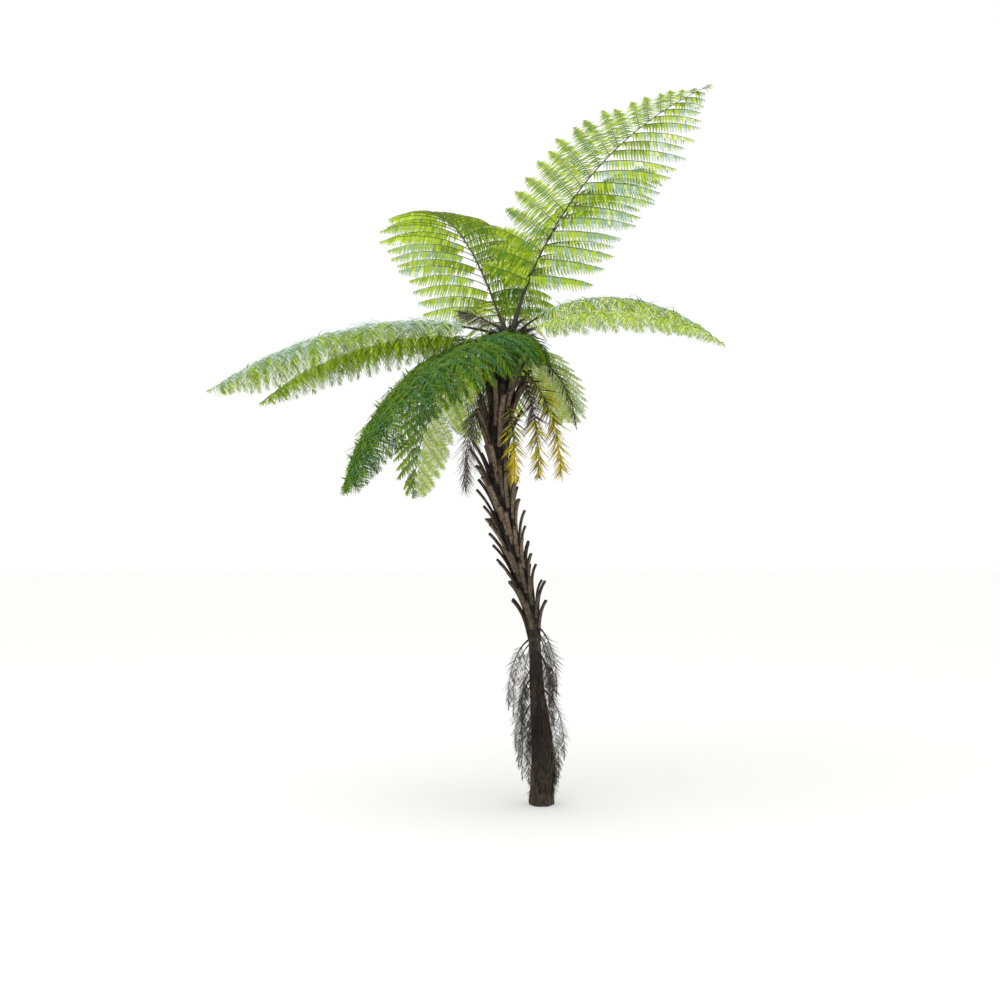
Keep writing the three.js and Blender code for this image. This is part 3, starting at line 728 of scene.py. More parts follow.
def pinnule_form():
    """A lobed blade along +X, of unit length, width and bow: rows of lobes either side of a
    midrib that bows towards -Z. Also marks the faces of its outer half."""
    lobes = 8
    sweep = 0.5 / lobes  # how far each lobe leans towards the tip
    points = [(k / lobes, 0.0, -((k / lobes) ** 2)) for k in range(lobes + 1)]
    faces = []
    for hand in (-1, 1):
        for k in range(lobes):
            near, far = (k + 0.12) / lobes + sweep, (k + 0.92) / lobes + sweep
            half = 0.5 * (1 - 0.85 * (k / lobes) ** 1.7) * (0.8 if k == 0 else 1)
            first = len(points)
            points += [(near, hand * half, -(near**2) - 0.12),
                       (far, hand * half * 0.82, -(far**2) - 0.1)]
            corners = [k, k + 1, first + 1, first]
            faces.append(corners if hand > 0 else corners[::-1])
    tip = len(points)
    points.append((1 + sweep, 0.0, -1.0 - sweep))
    last = [p for p in range(lobes + 1, tip) if points[p][0] > (lobes - 0.5) / lobes + sweep]
    faces += [[lobes, tip, last[1]], [lobes, last[0], tip]]
    return points, faces, [min(points[p][0] for p in face) > 0.45 for face in faces]


def needle_form():
    """A narrow withered blade along +X, of unit length, width and bow."""
    stations = ((0.0, 0.35), (0.35, 0.5), (0.72, 0.36))
    points = [(x, hand * half, -x * x) for x, half in stations for hand in (-1, 1)]
    faces = [[2 * k, 2 * k + 2, 2 * k + 3, 2 * k + 1] for k in range(len(stations) - 1)]
    return points + [(1.0, 0.0, -1.0)], faces + [[4, 6, 5]], [False] * len(stations)


def tube_faces(rings, sides):
    """Quads between rings of points that follow each other."""
    faces = []
    for k in range(rings - 1):
        for i in range(sides):
            j = (i + 1) % sides
            faces.append([k * sides + i, k * sides + j, (k + 1) * sides + j, (k + 1) * sides + i])
    return faces


# ---- node trees ----


def add_node(tree, kind, inputs=(), **settings):
    """Adds a node with its settings, and fills its inputs with values or links."""
    node = tree.nodes.new(kind)
    for name, value in settings.items():
        setattr(node, name, value)
    for socket, value in dict(inputs).items():
        if isinstance(value, bpy.types.NodeSocket):
            tree.links.new(value, node.inputs[socket])
        else:
            node.inputs[socket].default_value = value
    return node


def new_tree(name, inputs):
    """A geometry tree with named inputs beside its geometry, and its group input."""
    tree = bpy.data.node_groups.new(name, "GeometryNodeTree")
    tree.interface.new_socket("Geometry", in_out="OUTPUT", socket_type="NodeSocketGeometry")
    tree.interface.new_socket("Geometry", in_out="INPUT", socket_type="NodeSocketGeometry")
    for label, kind in inputs:
        tree.interface.new_socket(label, in_out="INPUT", socket_type=kind)
    return tree, add_node(tree, "NodeGroupInput").outputs


def material_sockets(count):
    return [(f"Material {k + 1}", "NodeSocketMaterial") for k in range(count)]


def deal_materials(tree, geometry, given, count):
    """Ends a tree: each face gets the material whose number it holds, or the next one where it is
    marked as outer."""
    number, outer = (
        add_node(tree, "GeometryNodeInputNamedAttribute", {"Name": name},
                 data_type="INT").outputs[0]
        for name in ("colour", "outer"))
    total = add_node(tree, "ShaderNodeMath", {0: number, 1: outer}, operation="ADD")
    last = add_node(tree, "ShaderNodeMath", {0: total.outputs[0], 1: count - 1.0},
                    operation="MINIMUM")
    for k in range(count):
        chosen = add_node(tree, "FunctionNodeCompare", {2: last.outputs[0], 3: k},
                          data_type="INT", operation="EQUAL")
        dressed = add_node(tree, "GeometryNodeSetMaterial", {
            "Geometry": geometry,
            "Selection": chosen.outputs[0],
            "Material": given[f"Material {k + 1}"],
        })
        geometry = dressed.outputs[0]
    add_node(tree, "NodeGroupOutput", {0: geometry})


def blade_tree(count):
    """Puts one blade on each point, turned along its way with its upper face up."""
    tree, given = new_tree("Fern blades", [("Form", "NodeSocketObject")] + material_sockets(count))
    way, upper, size = (
        add_node(tree, "GeometryNodeInputNamedAttribute", {"Name": name},
                 data_type="FLOAT_VECTOR").outputs[0]
        for name in ("way", "upper", "size"))
    turned = add_node(tree, "FunctionNodeAlignRotationToVector", {"Vector": way}, axis="X")
    rolled = add_node(tree, "FunctionNodeAlignRotationToVector",
                      {"Rotation": turned.outputs[0], "Vector": upper}, axis="Z", pivot_axis="X")
    form = add_node(tree, "GeometryNodeObjectInfo", {"Object": given["Form"], "As Instance": True})
    placed = add_node(tree, "GeometryNodeInstanceOnPoints", {
        "Points": given["Geometry"],
        "Instance": form.outputs["Geometry"],
        "Rotation": rolled.outputs[0],
        "Scale": size,
    })
    real = add_node(tree, "GeometryNodeRealizeInstances", {"Geometry": placed.outputs[0]})
    deal_materials(tree, real.outputs[0], given, count)
    return tree


def stalk_tree(count):
    """Sweeps a round section along each line of edges, as thick as its points say."""
    tree, given = new_tree("Fern stalks", [("Sides", "NodeSocketInt")] + material_sockets(count))
    line = add_node(tree, "GeometryNodeMeshToCurve", {"Mesh": given["Geometry"]})
    section = add_node(tree, "GeometryNodeCurvePrimitiveCircle",
                       {"Resolution": given["Sides"], "Radius": 1.0})
    thickness = add_node(tree, "GeometryNodeInputNamedAttribute", {"Name": "thickness"},
                         data_type="FLOAT")
    swept = add_node(tree, "GeometryNodeCurveToMesh", {
        "Curve": line.outputs[0],
        "Profile Curve": section.outputs[0],
        "Scale": thickness.outputs[0],
        "Fill Caps": True,
    })
    real = add_node(tree, "GeometryNodeRealizeInstances", {"Geometry": swept.outputs[0]})
    deal_materials(tree, real.outputs[0], given, count)
    return tree


def apply_tree(made, tree, values, materials):
    """Runs a geometry tree on an object and keeps the result as its plain mesh."""
    values |= {f"Material {k + 1}": material for k, material in enumerate(materials)}
    modifier = made.modifiers.new(tree.name, "NODES")
    modifier.node_group = tree
    for item in tree.interface.items_tree:
        if item.in_out == "INPUT" and item.name in values:
            modifier[item.identifier] = values[item.name]
    evaluated = made.evaluated_get(bpy.context.evaluated_depsgraph_get())
    result = bpy.data.meshes.new_from_object(evaluated)
    made.modifiers.remove(modifier)
    start = made.data
    made.data = result
    bpy.data.meshes.remove(start)
    result.name = made.name
    for name in ("way", "upper", "size", "colour", "outer", "thickness"):
        if name in result.attributes:
            result.attributes.remove(result.attributes[name])
    if not result.polygons:
        raise RuntimeError(f"{made.name} came out with no faces")


def make_blades(name, rows, form, materials):
    """One mesh of every gathered blade."""
    places, ways, uppers, sizes, colours = (np.concatenate(column) for column in zip(*rows))
    made = mesh_object(name, places)
    for key, values in (("way", ways), ("upper", uppers), ("size", sizes), ("colour", colours)):
        set_attribute(made.data, key, values)
    points, faces, outer = form
    pattern = mesh_object("form", points, faces)
    set_attribute(pattern.data, "outer", np.array(outer).astype(int), "FACE")
    apply_tree(made, blade_tree(len(materials)), {"Form": pattern}, materials)
    bpy.data.objects.remove(pattern)
    return made


def make_stalks(name, rows, sides, materials):
    """One mesh of every gathered stalk."""
    edges, first = [], 0
    for places, _, _ in rows:
        edges += [(first + k, first + k + 1) for k in range(len(places) - 1)]
        first += len(places)
    points, thickness, colours = zip(*((p, w, np.full(len(p), colour)) for p, w, colour in rows))
    made = mesh_object(name, np.concatenate(points), edges=edges)
    set_attribute(made.data, "thickness", np.concatenate(thickness))
    set_attribute(made.data, "colour", np.concatenate(colours))
    apply_tree(made, stalk_tree(len(materials)), {"Sides": sides}, materials)
    made.data.polygons.foreach_set("use_smooth", np.ones(len(made.data.polygons), bool))
    return made


def finish_piece(made, slot, nodes=()):
    """Fixes a piece to the plant and hides the solids that it takes the place of."""
    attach(made, "root")
    if nodes:
        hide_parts(*nodes)


# ---- materials ----


def new_material(name, sockets):
    """A material with one Principled shader, its plain values set on the shader's own sockets."""
    material = bpy.data.materials.new(name)
    material.use_nodes = True
    shader = material.node_tree.nodes["Principled BSDF"]
    for socket, value in sockets.items():
        shader.inputs[socket].default_value = value
    return material, material.node_tree, shader


def matt_material(name, colour, roughness, bloom=0.0):
    """One colour all over, with little gloss: leaf skin, dry fibre or a painted floor. bloom: the
    pale wax that whitens a leaf's upper face."""
    return new_material(name, {
        "Base Color": (*colour, 1.0),
        "Roughness": roughness,
        "IOR": 1.45,
        "Specular IOR Level": 0.2,
        "Sheen Weight": bloom,
        "Sheen Roughness": 0.5,
        "Sheen Tint": (*linear("#f2f5ee"), 1.0),
    })[0]


def streaked_material(name, dark, light, grain, stretch, roughness, bump):
    """Dry fibrous tissue: streaks that run up the plant, with broader mottling among them. The
    streaks make it look combed. Its dark end falls mostly where the bump sinks, so it is partly
    the fibre's own dark and partly painted shade in the hollows between fibres. grain: width of
    a streak; real fibres are finer, but wouldn't show. stretch: a streak's length over its width."""
    material, tree, shader = new_material(name, {"Roughness": roughness, "IOR": 1.45})
    place = add_node(tree, "ShaderNodeTexCoord").outputs["Object"]
    drawn = add_node(tree, "ShaderNodeMapping",
                     {"Vector": place, "Scale": (1.0, 1.0, 1.0 / stretch)})
    streaks = add_node(tree, "ShaderNodeTexNoise", {
        "Vector": drawn.outputs[0],
        "Scale": 1.0 / grain,
        "Detail": 4.0,
        "Roughness": 0.65,
    })
    mottle = add_node(tree, "ShaderNodeTexNoise", {
        "Vector": place,
        "Scale": 1.0 / (6 * grain),
        "Detail": 2.0,
    })
    both = add_node(tree, "ShaderNodeMix", {
        0: 0.35,
        2: streaks.outputs["Fac"],
        3: mottle.outputs["Fac"],
    }, data_type="FLOAT")
    ramp = add_node(tree, "ShaderNodeValToRGB", {"Fac": both.outputs[0]})
    for stop, position, colour in zip(ramp.color_ramp.elements, (0.38, 0.66), (dark, light)):
        stop.position = position
        stop.color = (*colour, 1.0)
    tree.links.new(ramp.outputs["Color"], shader.inputs["Base Color"])
    relief = add_node(tree, "ShaderNodeBump", {
        "Height": streaks.outputs["Fac"],
        "Strength": bump,
        "Distance": grain,
    })
    tree.links.new(relief.outputs[0], shader.inputs["Normal"])
    return material


# ---- settings ----


def size_property(name, description, default, **limits):
    return bpy.props.FloatProperty(name=name, description=description, default=default,
                                   subtype="DISTANCE", unit="LENGTH", **limits)


def colour_property(name, description, code):
    return bpy.props.FloatVectorProperty(name=name, description=description, default=linear(code),
                                         subtype="COLOR", min=0.0, max=1.0)


def count_property(name, description, default, least):
    return bpy.props.IntProperty(name=name, description=description, default=default, min=least)


class FernFoliageSettings(bpy.types.PropertyGroup):
    """Sizes and colours of the living blades."""

    blade_spacing: bpy.props.FloatProperty(
        name="Blade Spacing", description="Distance between two blades, over each frond's own",
        default=1.0, min=0.5, max=4.0)
    blade_longest: size_property("Longest Blade", "The longest blade of a leaflet", LUSH.longest,
                                 min=0.01)
    # Painted light and shade: shaded paints the shade deep in the crown, and grass partly paints
    # part shade. Sunlit and pale paint the light that shines through the blades. Bloom, sage and
    # glaucous are partly the wax's own whitish or blue-green and partly a painted reflection of the
    # sky.
    bloom: colour_property("Waxy Bloom", "Upper faces under the open sky", "#c8dccd")
    sage: colour_property("Sage", "Upper faces in part shade", "#9cbd90")
    glaucous: colour_property("Glaucous Green", "Blades open to the sky, deep down", "#4b7c48")
    shaded: colour_property("Shaded Green", "Blades deep in the crown", "#39600c")
    deep: colour_property("Deep Green", "Blades near the rib", "#5a870e")
    grass: colour_property("Grass Green", "Young blades in part shade", "#79960a")
    leaf: colour_property("Leaf Green", "Full-grown blades", "#98b416")
    fresh: colour_property("Fresh Green", "Thin blades at the leaflets' ends", "#b2cd2c")
    sunlit: colour_property("Sunlit Green", "Blades with the sun behind them", "#c6de52")
    pale: colour_property("Pale Green", "Blades that the sky shines through", "#eaf3b4")
    rib: colour_property("Rib", "Scaly skin of the living ribs", "#3a2e22")
    costa: colour_property("Costa", "Stalk of a living leaflet", "#667030")
    green_costa: colour_property("Green Costa", "Stalk of a leaflet on a drooping frond", "#7f9445")


class FernTrunkSettings(bpy.types.PropertyGroup):
    """Sizes and colours of the trunk, its threads and its leaf bases."""

    ring_step: size_property("Ring Step", "Between two rings of the trunk", 0.009, min=0.004)
    sides: count_property("Sides", "Points round the trunk", 112, 24)
    threads: count_property("Threads", "Root threads on the trunk", 420, 0)
    thread: size_property("Thread", "Radius of a root thread", 0.0011, min=0.0003)
    bark: colour_property("Root Mantle", "Matted roots of the trunk", "#5f564a")
    # Partly the roots' own dark and partly painted shade in the hollows of the root fibre.
    bark_dark: colour_property("Root Hollows", "Gaps between the roots", "#15110d")
    base: colour_property("Leaf Base", "Dry skin of the old leaf bases", "#9d876b")
    # Partly the leaf bases' own dark streaks and partly painted shade in the hollows of their
    # fibre.
    base_dark: colour_property("Leaf Base Shade", "Dark streaks of the leaf bases", "#150e08")
    cut: colour_property("Cut End", "Pith at the cut end of a leaf base", "#6e604c")


class FernDeadSettings(bpy.types.PropertyGroup):
    """Sizes and colours of the dead fronds and of the skirt."""

    strands: count_property("Strands", "Strands in the skirt", 46, STRAND_COUNT)
    buds: count_property("Buds", "Scaly buds and stubs in the crown", 24, 0)
    bristle: size_property("Bristle", "Longest bristle of a strand", 0.075, min=0.01)
    withered: colour_property("Withered Brown", "Blades of a dead frond", "#51463a")
    ashen: colour_property("Ashen Brown", "Bleached dead blades", "#6b6158")
    charred: colour_property("Blackened Brown", "Oldest dead blades", "#2b2621")
    olive: colour_property("Olive", "Blades that start to wither", "#98a02a")
    golden: colour_property("Golden", "Withering blades", "#dccb1e")
    amber: colour_property("Amber", "Last colour before brown", "#b9a126")
    strand: colour_property("Strand", "Bristles of the skirt", "#2c2620")


class FernStageSettings(bpy.types.PropertyGroup):
    """Floor, light and camera."""

    floor_size: size_property("Floor Size", "Side of the square floor", 60.0, min=5.0)
    floor_colour: colour_property("Floor", "Matt pale floor", "#fdfdfc")
    sky: bpy.props.FloatProperty(name="Sky", description="Strength of the even light",
                                 default=1.0, min=0.0)
    key_power: bpy.props.FloatProperty(
        name="Key Light", description="Power of the soft light overhead", default=110.0, min=0.0,
        subtype="POWER", unit="POWER")


# ---- operators ----


class FERN_OT_trunk(bpy.types.Operator):
    """Grow the trunk's surface with its mantle of matted roots"""

    bl_idname = "fern.trunk"
    bl_label = "Trunk"

    def execute(self, context):
        settings = context.scene.fern_trunk
        low = np.linspace(0, DOME_FOOT, round(DOME_FOOT / settings.ring_step) + 1)
        turns = np.linspace(0, math.pi / 2, DOME_RINGS)[1:-1]
        dome = mix(DOME_FOOT, TRUNK_TOP, np.sin(turns))
        heights = np.concatenate([low, dome])[:, None]
        rings, sides = len(heights), settings.sides
        turns = (np.arange(sides) / sides * 2 * math.pi)[None, :]
        surface = trunk_surface(turns, heights).reshape(-1, 3)
        points = np.vstack([surface, trunk_centre(0.0), trunk_centre(TRUNK_TOP)])
        foot, tip = len(surface), len(surface) + 1
        faces = tube_faces(rings, sides)
        walls = len(faces)
        last = (rings - 1) * sides
        for i in range(sides):
            j = (i + 1) % sides
            faces += [[foot, j, i], [last + i, last + j, tip]]
        made = mesh_object("trunk_mantle", points, faces)
        made.data.polygons.foreach_set("use_smooth", np.arange(len(faces)) < walls)
        made.data.materials.append(streaked_material(
            "Matted tree fern root", settings.bark_dark, settings.bark, grain=0.006, stretch=7.0,
            roughness=0.9, bump=0.9))
        finish_piece(made, "trunk_fibre", ["trunk"])
        return {"FINISHED"}


class FERN_OT_threads(bpy.types.Operator):
    """Lay loose root threads over the trunk"""

    bl_idname = "fern.threads"
    bl_label = "Root Threads"

    def execute(self, context):
        settings = context.scene.fern_trunk
        rng = np.random.default_rng(THREAD_SEED)
        rows = []
        for k in range(settings.threads):
            low_down = k % 4 != 0
            length = rng.uniform(*THREAD_LENGTHS)
            start = rng.uniform(*((0.02, WAIST) if low_down else (WAIST, THREAD_HIGHEST)))
            end = max(start - length, THREAD_LOWEST) if low_down else start + length * 0.5
            shares = np.linspace(0, 1, THREAD_POINTS)
            z = np.linspace(start, end, THREAD_POINTS)
            phase = rng.uniform(0, 2 * math.pi, 3)
            weave = 0.22 * np.sin(z / 0.05 + phase[1])
            turn = phase[0] + weave + 0.9 * (z - start) * np.sin(phase[2])
            lift = THREAD_LIFT + THREAD_ARCH * rng.random() * np.sin(math.pi * shares)
            thickness = settings.thread * rng.uniform(0.6, 1.8) * mix(1, 0.6, shares)
            rows.append((trunk_surface(turn, z, lift), thickness, k % len(THREAD_COLOURS)))
        # Dry root fibre, which is dull.
        materials = [matt_material(f"Root thread, {name}", linear(code), 0.8)
                     for name, code in THREAD_COLOURS.items()]
        finish_piece(make_stalks("trunk_threads", rows, THREAD_SIDES, materials), "trunk_fibre")
        return {"FINISHED"}


@dataclass(frozen=True)
class Strap:
    """One leaf base. hug, lean: degrees from the trunk's way at its foot and at its end."""

    heading: float
    foot: float
    length: float
    width: float
    hug: float
    lean: float


def leaf_base_straps(rng):
    """Every leaf base: the solid ones, loose ones between them, and the stubs below the crown."""
    straps = []
    for index in range(BASE_COUNT):
        up = index / (BASE_COUNT - 1)
        length = mix(*BASE_LENGTHS, up) * (1 - BASE_CUT_STEP * ((index * 3) % BASE_CUTS))
        solid = Strap(BASE_HEADING + index * SPIRAL_TURN, mix(BASE_LOWEST, BASE_HIGHEST, up),
                      length, mix(*BASE_WIDTHS, up), BASE_HUG, mix(*BASE_LEANS, up))
        straps.append(solid)
        if index < LOOSE_BASES:
            straps.append(replace(
                solid, heading=solid.heading + SPIRAL_TURN / 2, foot=solid.foot + LOOSE_BASE_RISE,
                length=length * rng.uniform(0.8, 1.05), hug=LOOSE_BASE_HUG))
    for index in range(STUB_COUNT):
        up = index / (STUB_COUNT - 1)
        straps.append(Strap(
            STUB_HEADING + index * SPIRAL_TURN, mix(STUB_LOWEST, STUB_HIGHEST, up),
            STUB_LENGTH * mix(1, 0.8, up) * rng.uniform(0.85, 1.1), STUB_WIDTH, STUB_HUG,
            STUB_LEAN + rng.uniform(-6, 6)))
    return straps


def painted_shade_strap_face(number):
    """Whether a face of a leaf base lies in the gap beside it, and so is painted dark as shade: its
    foot and its two edges.
    """
    step, side = divmod(number, STRAP_ARC + STRAP_TROUGH)
    return step < STRAP_FOOT_STEPS or side in (0, STRAP_ARC - 2)


def strap_mesh(strap, rng):
    """Points and faces of one leaf base: a channelled strap that hugs the trunk and then leans
    out to a cut end. Also gives the number of faces before its cut end."""
    outward, level = compass(strap.heading), compass(strap.heading - 90)
    climb = trunk_way(strap.foot)
    point = trunk_centre(strap.foot) + outward * (trunk_radius(strap.foot) - BASE_INSET)
    points = []
    for k in range(STRAP_STEPS + 1):
        share = k / STRAP_STEPS
        gone = max(share - 0.5 / BASE_STEPS, 0) ** BASE_CURL
        angle = math.radians(mix(strap.hug, strap.lean, gone))
        way = climb * math.cos(angle) + outward * math.sin(angle)
        inward = unit(np.cross(level, way))
        half = strap.width / 2 * mix(STRAP_FLARE, BASE_END_SHARE, share**0.8)
        deep = half * BASE_FLATNESS * mix(0.9, 1.1, share)
        hollow = mix(*STRAP_HOLLOWS, share)
        rim = [(math.cos(t), -math.sin(t)) for t in np.linspace(0, math.pi, STRAP_ARC)]
        rim += [(u, STRAP_LIP - hollow * (1 - u * u))
                for u in np.linspace(-0.82, 0.82, STRAP_TROUGH)]
        wobble = 1 + STRAP_WOBBLE * rng.normal(size=len(rim)) * (share < 1)
        points += [point + level * u * half * w + inward * v * deep * w
                   for (u, v), w in zip(rim, wobble)]
        point = point + way * strap.length / STRAP_STEPS
    sides = STRAP_ARC + STRAP_TROUGH
    faces = [face[::-1] for face in tube_faces(STRAP_STEPS + 1, sides)]
    faces.append(list(range(sides)))
    walls = len(faces)
    last = STRAP_STEPS * sides
    centre = np.mean(points[last:last + sides], axis=0)
    points += [mix(centre, points[last + i], PITH_SHARE) - way * PITH_SUNK for i in range(sides)]
    for i in range(sides):
        j = (i + 1) % sides
        faces.append([last + j, last + i, last + sides + i, last + sides + j])
    faces.append([last + sides + i for i in reversed(range(sides))])
    return points, faces, walls


class FERN_OT_leaf_bases(bpy.types.Operator):
    """Set the old cut leaf bases up the trunk"""

    bl_idname = "fern.leaf_bases"
    bl_label = "Leaf Bases"

    def execute(self, context):
        settings = context.scene.fern_trunk
        rng = np.random.default_rng(BASE_SEED)
        # Material numbers. shaded is painted shade, for the faces in the gaps between the leaf
        # bases.
        tan, weathered, cut, shaded = range(4)
        points, faces, numbers = [], [], []
        for strap in leaf_base_straps(rng):
            more, walls_and_end, walls = strap_mesh(strap, rng)
            shift = len(points)
            points += more
            faces += [[shift + i for i in face] for face in walls_and_end]
            finish = tan if strap.foot > TAN_FROM and rng.random() < TAN_SHARE else weathered
            # Faces in the gap beside a leaf base, and the cap at its foot, are painted dark as
            # shade.
            numbers += [shaded if painted_shade_strap_face(i) else finish for i in range(walls - 1)]
            numbers += [shaded] + [cut] * (len(walls_and_end) - walls)
        made = mesh_object("leaf_base_straps", points, faces)
        made.data.polygons.foreach_set("use_smooth", np.array(numbers) != cut)
        made.data.polygons.foreach_set("material_index", numbers)
        # The stalks' dry skin is combed along its length. Cut pith is crumbly, with no grain.
        skin = {"grain": 0.0035, "stretch": 9.0}
        for material in (
            streaked_material("Dry leaf base, tan", settings.base_dark, settings.base,
                              roughness=0.75, bump=0.6, **skin),
            streaked_material("Dry leaf base, weathered", linear("#120c07"), linear("#776952"),
                              roughness=0.8, bump=0.7, **skin),
            streaked_material("Cut pith", settings.base_dark, settings.cut, grain=0.002,
                              stretch=1.0, roughness=0.9, bump=0.5),
            # Painted shade for the faces in the gaps.
            streaked_material("Dry leaf base, shaded edge", linear("#0c0805"), linear("#33281e"),
                              roughness=0.9, bump=0.7, **skin),
        ):
            made.data.materials.append(material)
        nodes = [name for name in frame["nodes"] if name.startswith("leaf_base_")]
        finish_piece(made, "leaf_base", nodes)
        return {"FINISHED"}


class FERN_OT_living_fronds(bpy.types.Operator):
    """Grow the crown of living fronds"""

    bl_idname = "fern.living_fronds"
    bl_label = "Living Fronds"

    def execute(self, context):
        settings = context.scene.fern_foliage
        # Thin waxy leaf, half matt, and hazed where its bloom is thick.
        materials = [
            matt_material(f"Fern blade, {name}", getattr(settings, name), LIVING_ROUGHNESS,
                          BLOOMS.get(name, 0.0))
            for name in BLADE_COLOURS
        ]
        ribs, costae, nodes = [], [], []
        for number, frond in enumerate(LIVING_FRONDS):
            growth = Growth()
            spacing = frond.habit.spacing * settings.blade_spacing
            habit = replace(frond.habit, longest=settings.blade_longest, spacing=spacing)
            grow_feathered(growth, replace(frond, habit=habit),
                           np.random.default_rng(LIVING_SEED + number))
            blades = make_blades(frond.name + "_blades", growth.blades, pinnule_form(), materials)
            finish_piece(blades, SLOTS[frond.nodes()[0]], frond.nodes())
            ribs += growth.ribs
            green = int(frond.habit.costa < SLENDER_COSTA)
            costae += [(places, thickness, green) for places, thickness, _ in growth.costae]
            nodes += frond.nodes()
        # The ribs' dry scales run lengthwise and leave them a little glossy.
        skin = streaked_material("Scaly rib", linear("#17130f"), settings.rib, grain=0.004,
                                 stretch=5.0, roughness=0.5, bump=0.4)
        finish_piece(make_stalks("living_ribs", ribs, RIB_SIDES, [skin]), "frond_deep", nodes)
        # Smooth stalks, with the leaf's own low gloss.
        stalks = [matt_material("Leaflet stalk", settings.costa, LIVING_ROUGHNESS),
                  matt_material("Leaflet stalk, green", settings.green_costa, LIVING_ROUGHNESS)]
        finish_piece(make_stalks("living_costae", costae, COSTA_SIDES, stalks),
                     "frond_bright", nodes)
        return {"FINISHED"}


def dead_materials(settings):
    """Dry papery blades, duller than living ones."""
    return [matt_material(f"Dry blade, {name}", getattr(settings, name), 0.7)
            for name in WITHERED_COLOURS]


class FERN_OT_dead_fronds(bpy.types.Operator):
    """Grow the dead and the withering fronds"""

    bl_idname = "fern.dead_fronds"
    bl_label = "Dead Fronds"

    def execute(self, context):
        settings = context.scene.fern_dead
        materials = dead_materials(settings)
        brown, gold = Growth(), Growth()
        for number, frond in enumerate(DEAD_FRONDS):
            grow_bristled(brown, frond, np.random.default_rng(DEAD_SEED + number))
        rng = np.random.default_rng(BUD_SEED)
        for number in range(settings.buds):
            heading = number * SPIRAL_TURN
            bud = replace(BUD, seat=heading, heading=heading, rise=rng.uniform(15, 75),
                          fall=rng.uniform(-10, 50), foot=rng.uniform(2.86, 2.94),
                          length=BUD.length * rng.uniform(0.5, 1.2))
            grow_bristled(brown, bud, rng)
        for number, frond in enumerate(GOLDEN_FRONDS):
            grow_bristled(gold, frond, np.random.default_rng(GOLDEN_SEED + number))
        dead_nodes, golden_nodes = (
            [node for frond in fronds for node in frond.nodes()]
            for fronds in (DEAD_FRONDS, GOLDEN_FRONDS))
        finish_piece(make_blades("dead_blades", brown.blades, needle_form(), materials),
                     "frond_dead", dead_nodes)
        finish_piece(make_blades("golden_blades", gold.blades, pinnule_form(), materials),
                     "frond_golden", golden_nodes)
        # Bare dry ribs are wrinkled along their length.
        skin = streaked_material("Dry rib", linear("#1a1613"), linear("#4a3e30"), grain=0.003,
                                 stretch=6.0, roughness=0.7, bump=0.5)
        finish_piece(make_stalks("dead_ribs", brown.ribs + gold.ribs, DEAD_RIB_SIDES, [skin]),
                     "frond_dead", dead_nodes + golden_nodes)
        return {"FINISHED"}


class FERN_OT_skirt(bpy.types.Operator):
    """Hang the skirt of bristly strands round the foot of the trunk"""

    bl_idname = "fern.skirt"
    bl_label = "Skirt"

    def execute(self, context):
        settings = context.scene.fern_dead
        rng = np.random.default_rng(SKIRT_SEED)
        growth = Growth()
        for index in range(settings.strands):
            if index < STRAND_COUNT:
                heading = STRAND_HEADING + index * SPIRAL_TURN
                foot = mix(STRAND_HIGHEST, STRAND_LOWEST, index / (STRAND_COUNT - 1))
                loose = {}
            else:
                heading = rng.uniform(0, 360)
                foot = mix(LOOSE_STRAND_LOWEST, STRAND_HIGHEST, rng.random() ** 1.5)
                loose = {"rib": LOOSE_STRAND_RIB, "bend": rng.uniform(0.16, 0.26),
                         "length": min(rng.uniform(0.3, 0.55), foot * HANGING_SHARE)}
            strand = replace(STRAND, heading=heading, seat=heading, foot=foot,
                             span=settings.bristle, **loose)
            grow_bristled(growth, strand, rng)
        nodes = [name for name in frame["nodes"] if name.startswith("skirt_strand_")]
        materials = dead_materials(settings)
        finish_piece(make_blades("skirt_bristles", growth.blades, needle_form(), materials),
                     "skirt_fibre", nodes)
        skin = streaked_material("Strand rib", linear("#14110e"), settings.strand, grain=0.003,
                                 stretch=6.0, roughness=0.75, bump=0.5)
        finish_piece(make_stalks("skirt_ribs", growth.ribs, STRAND_SIDES, [skin]),
                     "skirt_fibre", nodes)
        return {"FINISHED"}


def stand(data, place, turn):
    """Stands a light or camera in the scene, turned by degrees."""
    made = bpy.data.objects.new(data.name, data)
    made.location = place
    made.rotation_euler = [math.radians(angle) for angle in turn]
    bpy.context.scene.collection.objects.link(made)
    return made


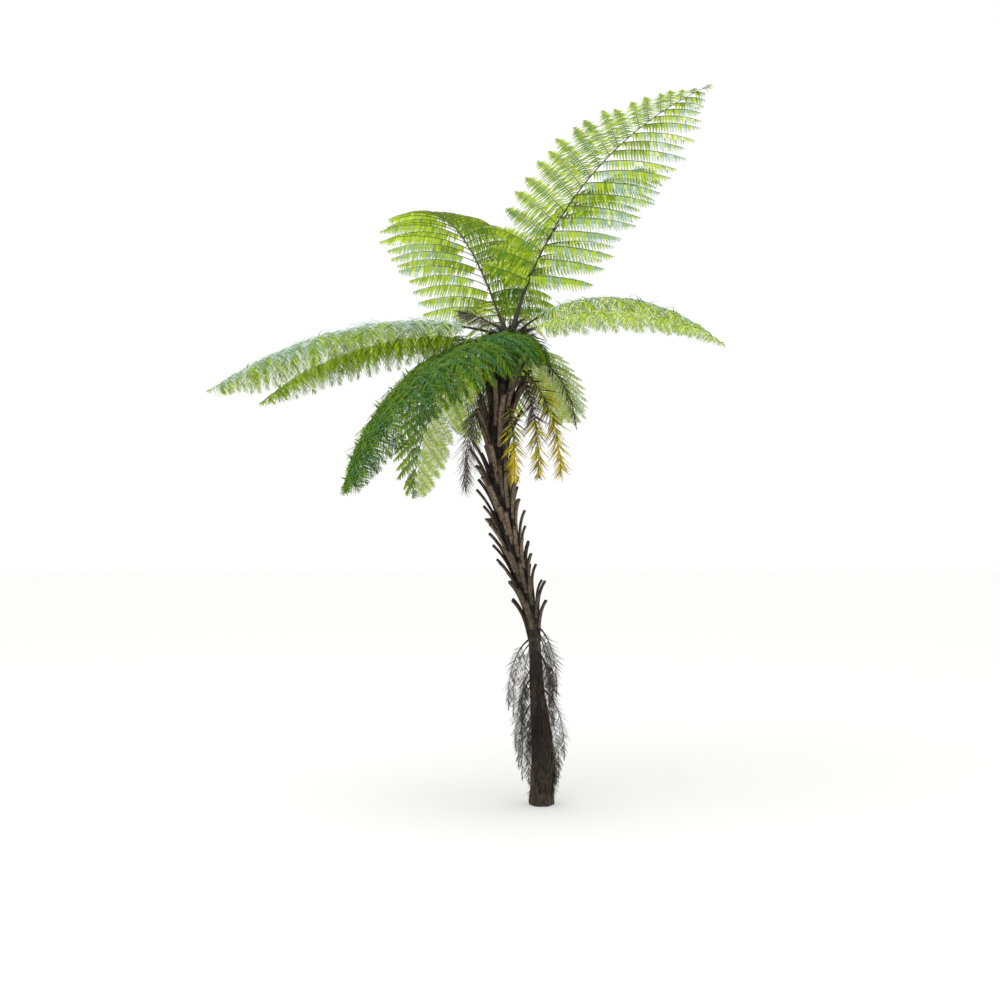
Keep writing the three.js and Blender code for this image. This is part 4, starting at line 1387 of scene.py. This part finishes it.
class FERN_OT_stage(bpy.types.Operator):
    """Set up the floor, the soft studio light and the camera"""

    bl_idname = "fern.stage"
    bl_label = "Stage"

    def execute(self, context):
        scene, settings = context.scene, context.scene.fern_stage
        half = settings.floor_size / 2
        corners = [(-half, -half, 0), (half, -half, 0), (half, half, 0), (-half, half, 0)]
        floor = mesh_object("floor", corners, [[0, 1, 2, 3]])
        # Matt paint.
        floor.data.materials.append(matt_material("Pale floor", settings.floor_colour, 0.9))
        scene.world = bpy.data.worlds.new("Even sky")
        scene.world.use_nodes = True
        sky = scene.world.node_tree.nodes["Background"]
        sky.inputs["Color"].default_value = (1.0, 1.0, 1.0, 1.0)
        sky.inputs["Strength"].default_value = settings.sky
        key = bpy.data.lights.new("overhead", "AREA")
        key.shape = "DISK"
        key.size = KEY_SIZE
        key.energy = settings.key_power
        lens = bpy.data.cameras.new("camera")
        lens.lens = LENS
        lens.clip_end = FAR_END
        stand(key, KEY_PLACE, KEY_TURN)
        scene.camera = stand(lens, CAMERA_PLACE, CAMERA_TURN)
        scene.view_settings.view_transform = "Standard"
        return {"FINISHED"}


class FERN_PT_panel(bpy.types.Panel):
    """Lists the steps that grow the fern"""

    bl_idname = "FERN_PT_panel"
    bl_label = "Tree Fern"
    bl_space_type = "VIEW_3D"
    bl_region_type = "UI"
    bl_category = "Tree Fern"

    def draw(self, context):
        for step in OPERATORS:
            self.layout.operator(step.bl_idname)


OPERATORS = (
    FERN_OT_stage, FERN_OT_trunk, FERN_OT_threads, FERN_OT_leaf_bases, FERN_OT_living_fronds,
    FERN_OT_dead_fronds, FERN_OT_skirt,
)
SETTINGS = {
    "fern_foliage": FernFoliageSettings,
    "fern_trunk": FernTrunkSettings,
    "fern_dead": FernDeadSettings,
    "fern_stage": FernStageSettings,
}


def register():
    for group in (*SETTINGS.values(), *OPERATORS, FERN_PT_panel):
        bpy.utils.register_class(group)
    for name, group in SETTINGS.items():
        setattr(bpy.types.Scene, name, bpy.props.PointerProperty(type=group))


def unregister():
    for name in SETTINGS:
        delattr(bpy.types.Scene, name)
    for group in reversed((*SETTINGS.values(), *OPERATORS, FERN_PT_panel)):
        bpy.utils.unregister_class(group)


def main():
    register()
    for step in OPERATORS:
        area, name = step.bl_idname.split(".")
        getattr(getattr(bpy.ops, area), name)()
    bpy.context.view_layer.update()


if __name__ == "__main__":
    main()
